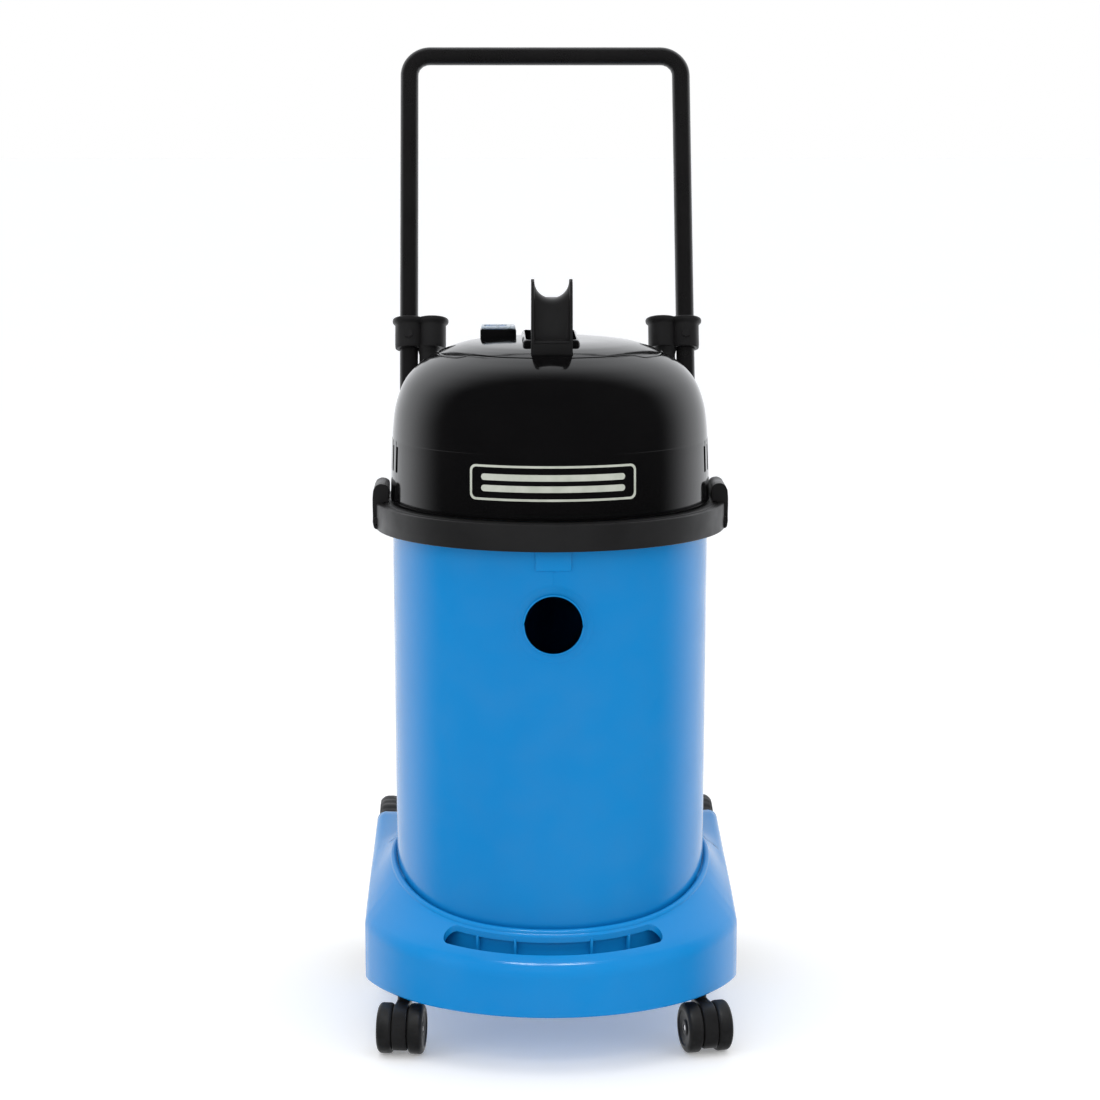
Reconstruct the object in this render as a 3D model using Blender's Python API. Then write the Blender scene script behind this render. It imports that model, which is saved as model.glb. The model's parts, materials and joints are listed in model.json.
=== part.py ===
# Wet and dry shop vacuum on a wheeled base, with a push handle.
# Metres, +Z up, front at -Y. The origin is on the floor, under the middle of the whole machine.
# Heights are measured from the floor; plan places are measured from the drum's upright axis.
import math

import bmesh
import bpy
from mathutils import Matrix, Vector

# Fits
TOUCH_GAP = 0.0003          # between pieces that rest on or are fixed to each other
RUNNING_GAP = 0.0008        # around pieces that turn or slide
BURY = 0.004                # how far one feature of a moulding runs into the next
PAST = 0.010                # how far a cutting shape runs past what it cuts

# Drum
DRUM_RADIUS = 0.158
DRUM_DRAFT = 0.002          # how much smaller the drum's radius is at its bottom
DRUM_WALL = 0.003
DRUM_FLOOR = 0.066
DRUM_TOP = 0.5330
DRUM_CORNER_WIDTH = 0.045   # the round corner between the wall and the floor
DRUM_CORNER_HEIGHT = 0.100

# Band around the top of the drum, with a pocket and two lugs for each clip
BAND_RADIUS = 0.1755
BAND_SEAT = 0.166           # outside of the inner ring, which grips the drum
BAND_WALL = 0.003
POCKET_ROOM = 0.001
TUBE_ROOM = 0.002           # around the push handle's tubes, which pass behind the band
BAND_BOTTOM = 0.5096
BAND_TOP = 0.5360
BAND_LIP = 0.012            # how far its top lip reaches in over the drum's edge from the seat
LUG_WIDTH = 0.004
LUG_REACH = 0.0105

# Clips
CLIP_WIDTH = 0.050
CLIP_HEIGHT = 0.044         # from the hinge up to the top of the hook
CLIP_PIN_PLACE = 0.1722     # from the drum's axis
CLIP_PIN_HEIGHT = 0.5113
CLIP_PIN_RADIUS = 0.002
CLIP_BARREL = 0.0046
CLIP_THICKNESS = 0.0068
CLIP_HOOK = 0.0092          # how far the hook reaches in from the lever's back

# Hose inlet
INLET_HEIGHT = 0.437
INLET_RADIUS = 0.027
INLET_COLLAR = 0.0295
INLET_FLANGE = 0.033
INLET_PROUD = 0.005
DEFLECTOR_REACH = 0.046
DEFLECTOR_WALL = 0.0025
SEAL_WIDTH = 0.0022
SEAL_DEPTH = 0.0035
TAB_WIDTH = 0.035
TAB_HEIGHT = 0.020
TAB_PROUD = 0.0018

# Head
SKIRT_RADIUS = 0.160
SKIRT_HEIGHT = 0.0622
SKIRT_DRAFT = 0.0021
HEAD_WALL = 0.003
HEAD_GAP = 0.0018           # the shadow line between the band and the head
DOME_HEIGHT = 0.091         # from the skirt's top up to the cap's edge
SEAM = 0.0015
CAP_RADIUS = 0.108
HEAD_SCREW_PLACE = 0.120
HEAD_SCREW_RADIUS = 0.0020
HEAD_SCREW_HEAD = 0.0042
HEAD_SCREW_LENGTH = 0.0125
SCREW_BOSS_RADIUS = 0.006
GLAND_RADIUS = 0.0065
CAP_RISE = 0.0140
CAP_LINE = ((0.0, 0.0), (0.55, 0.05), (0.80, 0.33), (0.92, 0.66))   # (share of radius, share of rise lost)
VENTS_PER_SIDE = 7
VENT_WIDTH = 0.008
VENT_HEIGHT = 0.031
VENT_PITCH = math.radians(6.25)
VENT_START = math.radians(74)   # from straight ahead
FOAM_THICKNESS = 0.006

# Carry handle on the cap
HANDLE_WIDTH = 0.040
HANDLE_FRONT = -0.098
HANDLE_REAR = 0.088
HANDLE_TIP = 0.763
HANDLE_POST = 0.034         # length of each post along the handle
HANDLE_SIDE = 0.0028        # the two walls of the front channel
HANDLE_WEB = 0.010
NOTCH_RADIUS = 0.0164
NOTCH_DROP = 0.0025
GRIP_TOP = 0.735
GRIP_WIDTH = 0.026
GRIP_THICKNESS = 0.018
GRIP_ROUND = 0.004
FINGER_ROOM = 0.036         # between the grip and the floor of the trough
TROUGH_WIDTH = 0.050

# Switch on the cap
SWITCH_X = -0.0515
SWITCH_Y = 0.027
SWITCH_LENGTH = 0.034
SWITCH_WIDTH = 0.026
SWITCH_SEAT = 0.7056
ROCKER_LENGTH = 0.019
ROCKER_WIDTH = 0.014
ROCKER_HEIGHT = 0.010
SWITCH_BODY_LENGTH = 0.030
SWITCH_BODY_WIDTH = 0.021
SWITCH_BODY_DEPTH = 0.024
COVER_HEIGHT = 0.0032

# Motor and fan, on the head's bottom plate
PLATE_THICKNESS = 0.0042
PLATE_EYE = 0.024
GASKET_THICKNESS = 0.004
FAN_HOUSING_RADIUS = 0.072
FAN_HOUSING_HEIGHT = 0.0414
CAN_WALL = 0.0015
SHAFT_RADIUS = 0.005
BEARING_RADIUS = 0.0112
BEARING_HEIGHT = 0.007
FRAME_RADIUS = 0.050
FRAME_HEIGHT = 0.0717
FRAME_WALL = 0.002
CORE_LENGTH = 0.036
ARMATURE_RADIUS = 0.026
IMPELLER_RADIUS = 0.064
IMPELLER_DEPTH = 0.018
IMPELLER_VANES = 7
VANE_START = 0.016
COOLER_RADIUS = 0.034
COOLER_BLADES = 8
BRUSH_LENGTH = 0.038
BRUSH_WIDTH = 0.008
COWL_RADIUS = 0.074
COWL_TOP = 0.6735

# Float valve under the plate
CAGE_RADIUS = 0.046
CAGE_DEPTH = 0.098
CAGE_WALL = 0.003
CAGE_BARS = 6
CAGE_WINDOW = 0.030
CAGE_FLANGE = 0.012
FLOAT_RADIUS = 0.038
FLOAT_HEIGHT = 0.034

# Base
BASE_BOTTOM = 0.057
BASE_RADIUS = 0.198         # the round front
BASE_SIDE_FRONT = 0.188     # half width at the end of the round front
BASE_SIDE_REAR = 0.1813     # half width at the tips of the arms
BASE_WALL = 0.004
RIM_WIDTH = 0.006
RIM_LOW = 0.132             # the cup's rim at the front
RIM_HIGH = 0.181            # and at the back
RIM_RISE_START = -0.190
RIM_RISE_END = 0.070
APRON_LOW = 0.100           # top of the upright side wall at the front
APRON_CORNER = 0.112
APRON_HIGH = 0.174
SHOULDER = 0.011
ARM_INNER = 0.1315
ARM_END = 0.142
SLOT_INNER = 0.1655
SLOT_OUTER = 0.182
SLOT_HALF_ANGLE = math.radians(35)
SLOT_RIBS = (-26.5, -13.0, 13.0, 26.5)
RIB_THICKNESS = 0.0025
DRUM_BOLT_RADIUS = 0.004
DRUM_BOLT_HEAD = 0.010
DRUM_BOLT_HEAD_DEPTH = 0.005
BOSS_WALL = 0.0098          # around each castor stem

# Push handle
TUBE_RADIUS = 0.0095
TUBE_HALF_SPAN = 0.144
TUBE_Y = 0.108
TUBE_BOTTOM = 0.0803
TUBE_KNEE = 0.600
TUBE_TOP = 0.9765           # centre line of the crossbar
TUBE_LEAN = math.radians(20)
KNEE_BEND = 0.080
CORNER_BEND = 0.022
BOLT_RADIUS = 0.003
BOLT_HEIGHT = 0.150
BOLT_HEAD_RADIUS = 0.0062

# Tool holders on the push handle
HOLDER_HEIGHT = 0.705       # top of the lips
HOLDER_LENGTH = 0.032
HOLDER_RADIUS = 0.0145
LIP_RADIUS = 0.0172
LIP_HEIGHT = 0.0055
CUP_OFFSET = 0.024          # from the tube to the cup beside it
CUP_BORE = 0.0118
SLEEVE_OFFSET = 0.0205
SLEEVE_RADIUS = 0.0098
SLEEVE_BORE = 0.0070
SLEEVE_LENGTH = 0.055

# Rear wheels
WHEEL_RADIUS = 0.090
WHEEL_WIDTH = 0.022
WHEEL_X = 0.169
WHEEL_Y = 0.198
TYRE_DEPTH = 0.012
AXLE_RADIUS = 0.005
HUB_RADIUS = 0.017
RIM_THICKNESS = 0.007
ARCH_GAP = 0.006
TONGUE_HALF_WIDTH = 0.150
TONGUE_HEIGHT = 0.032
AXLE_CAP_RADIUS = 0.012
AXLE_CAP_DEPTH = 0.006

# Front castors
CASTOR_X = 0.147
CASTOR_Y = -0.105
CASTOR_RADIUS = 0.025
CASTOR_WHEEL_WIDTH = 0.015
CASTOR_HOOD_WIDTH = 0.0145
CASTOR_TRAIL = 0.020
CASTOR_YAW = (math.radians(-7), math.radians(13))
STEM_RADIUS = 0.005
STEM_TOP = 0.096
CASTOR_AXLE_RADIUS = 0.003

ROUND = 34                  # sides of the large round pieces, with a flat at the very front
MEDIUM = 20
WHEEL_SIDES = 28
INSIDE = 16                 # and of the pieces inside the head
SMALL = 12

# Derived places
SPAN_Y = BASE_RADIUS + WHEEL_Y + WHEEL_RADIUS
DRUM_AXIS_Y = BASE_RADIUS - SPAN_Y / 2
SKIRT_BOTTOM = BAND_TOP + HEAD_GAP
SKIRT_TOP = SKIRT_BOTTOM + SKIRT_HEIGHT
DOME_BOTTOM = SKIRT_TOP + SEAM
CAP_EDGE = SKIRT_TOP + DOME_HEIGHT
CAP_TOP = CAP_EDGE + CAP_RISE
PLATE_BOTTOM = BAND_TOP + 0.0038
PLATE_TOP = PLATE_BOTTOM + PLATE_THICKNESS
SEAL_BOTTOM = BAND_TOP + TOUCH_GAP
FAN_HOUSING_BOTTOM = PLATE_TOP + GASKET_THICKNESS + 2 * TOUCH_GAP
FAN_HOUSING_TOP = FAN_HOUSING_BOTTOM + FAN_HOUSING_HEIGHT
FRAME_BOTTOM = FAN_HOUSING_TOP + TOUCH_GAP
FRAME_TOP = FRAME_BOTTOM + FRAME_HEIGHT
CORE_BOTTOM = FRAME_BOTTOM + 0.014
BRUSH_Z = CORE_BOTTOM + CORE_LENGTH + 0.010
TROUGH_FLOOR = GRIP_TOP - GRIP_THICKNESS - FINGER_ROOM
FINISHES = {
    "gloss_blue": ((0.016, 0.216, 0.539, 1.0), 0.12, 0.0),
    "gloss_black": ((0.008, 0.008, 0.009, 1.0), 0.10, 0.0),
    "satin_black": ((0.018, 0.018, 0.019, 1.0), 0.38, 0.0),
    "coated_steel": ((0.010, 0.010, 0.011, 1.0), 0.28, 0.1),
    "black_rubber": ((0.022, 0.022, 0.022, 1.0), 0.70, 0.0),
    "grey_plastic": ((0.085, 0.088, 0.092, 1.0), 0.45, 0.0),
    "bright_steel": ((0.62, 0.62, 0.63, 1.0), 0.28, 1.0),
    "copper": ((0.64, 0.26, 0.12, 1.0), 0.35, 1.0),
    "carbon": ((0.03, 0.03, 0.03, 1.0), 0.60, 0.0),
    "foam": ((0.05, 0.05, 0.055, 1.0), 0.95, 0.0),
    "clear_silicone": ((0.72, 0.80, 0.86, 1.0), 0.25, 0.0),
    "switch_blue": ((0.010, 0.150, 0.420, 1.0), 0.30, 0.0),
    "float_white": ((0.78, 0.78, 0.76, 1.0), 0.40, 0.0),
}


# ---- shape helpers -------------------------------------------------------------------------

def clear_scene():
    for old in list(bpy.data.objects):
        bpy.data.objects.remove(old, do_unlink=True)


def finish_material(name):
    known = bpy.data.materials.get(name)
    if known:
        return known
    colour, roughness, metallic = FINISHES[name]
    material = bpy.data.materials.new(name)
    material.use_nodes = True
    shader = material.node_tree.nodes["Principled BSDF"]
    shader.inputs["Base Color"].default_value = colour
    shader.inputs["Roughness"].default_value = roughness
    shader.inputs["Metallic"].default_value = metallic
    return material


def empty(name, at, parent=None, turn=(0, 0, 0)):
    holder = bpy.data.objects.new(name, None)
    bpy.context.scene.collection.objects.link(holder)
    holder.parent = parent
    holder.location = at
    holder.rotation_euler = turn
    return holder


def add_object(name, bm, parent, finish=None, at=(0, 0, 0), turn=(0, 0, 0)):
    bmesh.ops.remove_doubles(bm, verts=bm.verts, dist=1e-6)
    bmesh.ops.recalc_face_normals(bm, faces=bm.faces)
    mesh = bpy.data.meshes.new(name)
    bm.to_mesh(mesh)
    bm.free()
    mesh.shade_smooth()
    mesh.set_sharp_from_angle(angle=math.radians(35))
    if finish:
        mesh.materials.append(finish_material(finish))
    piece = bpy.data.objects.new(name, mesh)
    bpy.context.scene.collection.objects.link(piece)
    piece.parent = parent
    piece.location = at
    piece.rotation_euler = turn
    return piece


def apply_tool(piece, name, operation, *shapes):
    """Join to or cut from a piece the given closed shapes, which don't touch each other."""
    joined = bmesh.new()
    for shape in shapes:
        spare = bpy.data.meshes.new("spare")
        shape.to_mesh(spare)
        shape.free()
        joined.from_mesh(spare)
        bpy.data.meshes.remove(spare)
    tool = add_object(name, joined, piece.parent, None, piece.location, piece.rotation_euler)
    tool.hide_render = True
    tool.display_type = "WIRE"
    step = piece.modifiers.new(name, "BOOLEAN")
    step.operation = operation
    step.solver = "EXACT"
    step.object = tool


def join(piece, name, *shapes):
    apply_tool(piece, name, "UNION", *shapes)


def cut(piece, name, *shapes):
    apply_tool(piece, name, "DIFFERENCE", *shapes)


def turned(profile, steps=ROUND, closed=True):
    """Spin (radius, height) points about Z; an open profile starts and ends on the axis."""
    bm = bmesh.new()
    verts = [bm.verts.new((radius, 0, height)) for radius, height in profile]
    pairs = list(zip(verts, verts[1:]))
    if closed:
        pairs.append((verts[-1], verts[0]))
    edges = [bm.edges.new(pair) for pair in pairs]
    bmesh.ops.spin(bm, geom=verts + edges, cent=(0, 0, 0), axis=(0, 0, 1),
                   angle=2 * math.pi, steps=steps, use_merge=True)
    bmesh.ops.remove_doubles(bm, verts=bm.verts, dist=1e-6)
    bmesh.ops.recalc_face_normals(bm, faces=bm.faces)
    return bm


def ring(inner, outer, bottom, top, steps=ROUND):
    return turned([(inner, bottom), (outer, bottom), (outer, top), (inner, top)], steps)


def in_bore(bm, steps):
    """Turn a round piece by half a side, so that its flats lie along those of its bore."""
    return moved(bm, Matrix.Rotation(math.pi / steps, 4, "Z"))


def moved(bm, *matrices):
    for matrix in matrices:
        bmesh.ops.transform(bm, matrix=matrix, verts=bm.verts)
    return bm


def along_x(bm):
    return moved(bm, Matrix.Rotation(math.radians(90), 4, "Y"))


def along_y(bm):
    return moved(bm, Matrix.Rotation(math.radians(90), 4, "X"))


def facing_front(bm):
    """Turn a shape made along +Z so that it points out of the front, along -Y."""
    return moved(bm, Matrix.Rotation(math.radians(90), 4, "X"))


def shifted(bm, x, y, z):
    return moved(bm, Matrix.Translation((x, y, z)))


def rod(start, end, radius, steps=SMALL):
    start, end = Vector(start), Vector(end)
    bm = bmesh.new()
    bmesh.ops.create_cone(bm, cap_ends=True, segments=steps, radius1=radius, radius2=radius,
                          depth=(end - start).length)
    aim = (end - start).to_track_quat("Z", "Y").to_matrix().to_4x4()
    # Half a side's turn keeps a bore's edges off the edges of the turned piece it goes through.
    return moved(bm, Matrix.Rotation(math.pi / steps, 4, "Z"), aim, Matrix.Translation((start + end) / 2))


def block(low, high, round_edges=0.0):
    low, high = Vector(low), Vector(high)
    bm = bmesh.new()
    bmesh.ops.create_cube(bm, size=1.0)
    size = high - low
    moved(bm, Matrix.Diagonal((size.x, size.y, size.z, 1.0)), Matrix.Translation((low + high) / 2))
    if round_edges:
        bmesh.ops.bevel(bm, geom=bm.edges[:], offset=round_edges, segments=1, profile=0.5,
                        affect="EDGES", clamp_overlap=True)
    return bm


def prism(outline, depth):
    """A flat outline of (x, y) points, given its depth along +Z."""
    bm = bmesh.new()
    face = bm.faces.new([bm.verts.new((x, y, 0)) for x, y in outline])
    raised = bmesh.ops.extrude_face_region(bm, geom=[face])
    verts = [item for item in raised["geom"] if isinstance(item, bmesh.types.BMVert)]
    bmesh.ops.translate(bm, verts=verts, vec=(0, 0, depth))
    bmesh.ops.recalc_face_normals(bm, faces=bm.faces)
    return bm


def loft(sections):
    """Skin a row of closed loops that have the same number of points, and cap both ends."""
    bm = bmesh.new()
    loops = [[bm.verts.new(point) for point in section] for section in sections]
    count = len(loops[0])
    for near, far in zip(loops, loops[1:]):
        for i in range(count):
            j = (i + 1) % count
            bm.faces.new((near[i], near[j], far[j], far[i]))
    bm.faces.new(loops[0])
    bm.faces.new(loops[-1])
    bmesh.ops.recalc_face_normals(bm, faces=bm.faces)
    return bm


def polar(radius, angle, height):
    """A point by its angle from straight ahead, turning towards +X."""
    return (radius * math.sin(angle), -radius * math.cos(angle), height)


def between(value, stations):
    """Read a height or a width off straight runs between (place, value) stations."""
    for (start, low), (end, high) in zip(stations, stations[1:]):
        if value <= end:
            share = max(0.0, (value - start) / (end - start))
            return low + (high - low) * share
    return stations[-1][1]


def spread(first, last, count):
    return [first + (last - first) * i / (count - 1) for i in range(count)]


# ---- base --------------------------------------------------------------------------------

def rim_height(y):
    share = min(1.0, max(0.0, (y - RIM_RISE_START) / (RIM_RISE_END - RIM_RISE_START)))
    return RIM_LOW + (RIM_HIGH - RIM_LOW) * share * share * (3 - 2 * share)


CORNER_Y = -math.sqrt(BASE_RADIUS ** 2 - BASE_SIDE_FRONT ** 2)
CUP_RADIUS = DRUM_RADIUS - DRUM_DRAFT + 0.0012
RIM_OUTER = CUP_RADIUS + 0.0018 + RIM_WIDTH


def apron_height(y):
    return between(y, ((-BASE_RADIUS, APRON_LOW), (CORNER_Y, APRON_CORNER),
                       (ARM_END, APRON_HIGH)))


def side_width(y):
    return between(y, ((CORNER_Y, BASE_SIDE_FRONT), (ARM_END, BASE_SIDE_REAR)))


def base_outline():
    """Plan of the base without its arms: round front, near-straight sides, round back."""
    corner = math.atan2(BASE_SIDE_FRONT, -CORNER_Y)
    half = [polar(BASE_RADIUS, angle, 0)[:2] for angle in spread(0, corner, 9)]
    half += [(side_width(y), y) for y in (-0.020, 0.020, 0.055)]
    half += [polar(RIM_OUTER, angle, 0)[:2] for angle in spread(math.radians(117), math.pi, 6)]
    return half + [(-x, y) for x, y in half[-2:0:-1]]


def base_shell():
    outline = base_outline()
    angles = [math.atan2(x, -y) for x, y in outline]
    bottom, wall_top, shoulder_low, shoulder_high, rim_edge, rim_top = [], [], [], [], [], []
    for (x, y), angle in zip(outline, angles):
        reach = math.hypot(x, y)
        rim = rim_height(polar(RIM_OUTER, angle, 0)[1])
        wall = min(apron_height(y), rim - 0.002)
        step = min(SHOULDER, max(0.0006, (reach - RIM_OUTER) * 0.45))
        lift = min(step, rim - wall - 0.001)
        bottom.append((x, y, BASE_BOTTOM))
        wall_top.append((x, y, wall))
        shoulder_low.append(polar(reach - step * 0.25, angle, wall + lift * 0.62))
        shoulder_high.append(polar(reach - step, angle, wall + lift))
        rim_edge.append(polar(RIM_OUTER - 0.0004, angle, rim))
        rim_top.append(polar(RIM_OUTER - RIM_WIDTH * 0.4, angle, rim + 0.0015))
    return loft([bottom, wall_top, shoulder_low, shoulder_high, rim_edge, rim_top])


def arm(side):
    """One rear arm, which holds the push handle's foot and covers the front of a wheel."""
    sections = []
    for y in (-0.012, 0.020, 0.055, 0.090, 0.128, ARM_END):
        outer = side_width(y) + TOUCH_GAP
        wall = apron_height(y)
        rim = rim_height(y)
        lift = min(SHOULDER, rim - wall - 0.001)
        crest = max(math.sqrt(max(0.0, RIM_OUTER ** 2 - y ** 2)), ARM_INNER + 0.012)
        section = [(ARM_INNER, BASE_BOTTOM + 0.0005), (outer, BASE_BOTTOM + 0.0005), (outer, wall),
                   (outer - lift * 0.25, wall + lift * 0.62), (outer - lift, wall + lift),
                   (crest, rim), (ARM_INNER, rim)]
        sections.append([(side * x, y, z) for x, z in section])
    return loft(sections)


def drum_outline(extra=0.0):
    """The drum's outer side from its floor's middle up to its top edge, grown by extra."""
    low = DRUM_RADIUS - DRUM_DRAFT
    middle = DRUM_FLOOR + DRUM_CORNER_HEIGHT
    points = [(0.0, DRUM_FLOOR - extra)]
    for angle in spread(0, math.pi / 2, 5):
        points.append((low - DRUM_CORNER_WIDTH + (DRUM_CORNER_WIDTH + extra) * math.sin(angle),
                       middle - (DRUM_CORNER_HEIGHT + extra) * math.cos(angle)))
    points.append((DRUM_RADIUS + extra, DRUM_TOP))
    return points


def cup_bore():
    gap = CUP_RADIUS - (DRUM_RADIUS - DRUM_DRAFT)
    side = drum_outline(gap)[:-1]
    clear_top = RIM_HIGH + 2 * PAST
    side.append((CUP_RADIUS, side[-1][1] + 0.001))
    side.append((CUP_RADIUS, clear_top))
    side.append((0.0, clear_top))
    return turned(side, closed=False)


def under_hollow():
    """The open space under the sloping deck, between the cup and the outer wall."""
    inner = RIM_OUTER - 0.002
    limit = math.radians(98)
    outline = base_outline()
    sections = []
    for x, y in outline:
        angle = math.atan2(x, -y)
        if abs(angle) > limit:
            continue
        reach = math.hypot(x, y) - BASE_WALL
        deck = rim_height(polar(RIM_OUTER, angle, 0)[1]) - BASE_WALL * 1.6
        wall = apron_height(y) - BASE_WALL * 0.5
        sections.append((angle, [polar(inner, angle, BASE_BOTTOM - PAST),
                                 polar(reach, angle, BASE_BOTTOM - PAST),
                                 polar(reach, angle, wall), polar(inner, angle, deck)]))
    return loft([section for _, section in sorted(sections, key=lambda item: item[0])])


def front_slot():
    """A curved slot with round ends through the deck, in front of the drum."""
    middle = (SLOT_INNER + SLOT_OUTER) / 2
    half = (SLOT_OUTER - SLOT_INNER) / 2
    arc = spread(-SLOT_HALF_ANGLE, SLOT_HALF_ANGLE, 8)
    outline = [polar(SLOT_OUTER, angle, 0)[:2] for angle in arc]
    for side, ends in ((1, (45, 90, 135)), (-1, (135, 90, 45))):
        cx, cy, _ = polar(middle, side * SLOT_HALF_ANGLE, 0)
        out_x, out_y, _ = polar(1, side * SLOT_HALF_ANGLE, 0)
        turn = [(cx + half * (math.cos(math.radians(a)) * out_x - side * math.sin(math.radians(a)) * out_y),
                 cy + half * (math.cos(math.radians(a)) * out_y + side * math.sin(math.radians(a)) * out_x))
                for a in ends]
        if side == 1:
            outline += turn
            outline += [polar(SLOT_INNER, angle, 0)[:2] for angle in reversed(arc)]
        else:
            outline += turn
    return shifted(prism(outline, 0.080), 0, 0, APRON_LOW - 0.002)


def build_chassis(machine):
    chassis = add_object("chassis", base_shell(), machine, "gloss_blue")
    join(chassis, "chassis_arm_right", arm(1))
    join(chassis, "chassis_arm_left", arm(-1))
    tongue = block((-TONGUE_HALF_WIDTH, ARM_END - 5 * BURY, WHEEL_RADIUS - TONGUE_HEIGHT / 2),
                   (TONGUE_HALF_WIDTH, WHEEL_Y + 0.020, WHEEL_RADIUS + TONGUE_HEIGHT / 2), 0.004)
    join(chassis, "chassis_tongue", tongue)
    cut(chassis, "chassis_cup", cup_bore())
    cut(chassis, "chassis_hollow", under_hollow())
    boss_radius = STEM_RADIUS + BOSS_WALL
    bosses = [rod((side * CASTOR_X, CASTOR_Y, BASE_BOTTOM),
                  (side * CASTOR_X, CASTOR_Y, STEM_TOP + 0.007), boss_radius, 20) for side in (-1, 1)]
    join(chassis, "chassis_bosses", *bosses)
    cut(chassis, "chassis_slot", front_slot())
    ribs = []
    for degrees in SLOT_RIBS:
        rib = block((-RIB_THICKNESS / 2, -BASE_RADIUS + BASE_WALL * 0.5, BASE_BOTTOM + 0.014),
                    (RIB_THICKNESS / 2, -RIM_OUTER + BURY, APRON_LOW + 0.010))
        ribs.append(moved(rib, Matrix.Rotation(math.radians(degrees), 4, "Z")))
    join(chassis, "chassis_ribs", *ribs)
    holes = [rod((side * CASTOR_X, CASTOR_Y, BASE_BOTTOM - PAST),
                 (side * CASTOR_X, CASTOR_Y, STEM_TOP + TOUCH_GAP), STEM_RADIUS + TOUCH_GAP, SMALL)
             for side in (-1, 1)]
    for side in (-1, 1):
        holes.append(rod((side * TUBE_HALF_SPAN, TUBE_Y, TUBE_BOTTOM - TOUCH_GAP),
                         (side * TUBE_HALF_SPAN, TUBE_Y, RIM_HIGH + 2 * PAST), TUBE_RADIUS + TOUCH_GAP, 16))
    cut(chassis, "chassis_sockets", *holes)
    bolts = [rod((side * TUBE_HALF_SPAN, TUBE_Y, BOLT_HEIGHT),
                 (side * TUBE_HALF_SPAN, ARM_END + 0.010, BOLT_HEIGHT), BOLT_RADIUS + TOUCH_GAP, 12)
             for side in (-1, 1)]
    cut(chassis, "chassis_bolt_holes", *bolts)
    arch = WHEEL_RADIUS + ARCH_GAP
    inner = WHEEL_X - WHEEL_WIDTH / 2 - 0.0015
    arches = [rod((side * inner, WHEEL_Y, WHEEL_RADIUS), (side * 0.200, WHEEL_Y, WHEEL_RADIUS), arch, 36)
              for side in (-1, 1)]
    cut(chassis, "chassis_arches", *arches)
    axle = rod((-0.200, WHEEL_Y, WHEEL_RADIUS), (0.200, WHEEL_Y, WHEEL_RADIUS), AXLE_RADIUS + TOUCH_GAP)
    cut(chassis, "chassis_axle_bore", axle)
    hole = rod((0, 0, BASE_BOTTOM - PAST), (0, 0, DRUM_FLOOR + PAST), DRUM_BOLT_RADIUS + TOUCH_GAP, 12)
    cut(chassis, "chassis_bolt_hole", hole)


# ---- drum --------------------------------------------------------------------------------

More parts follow.
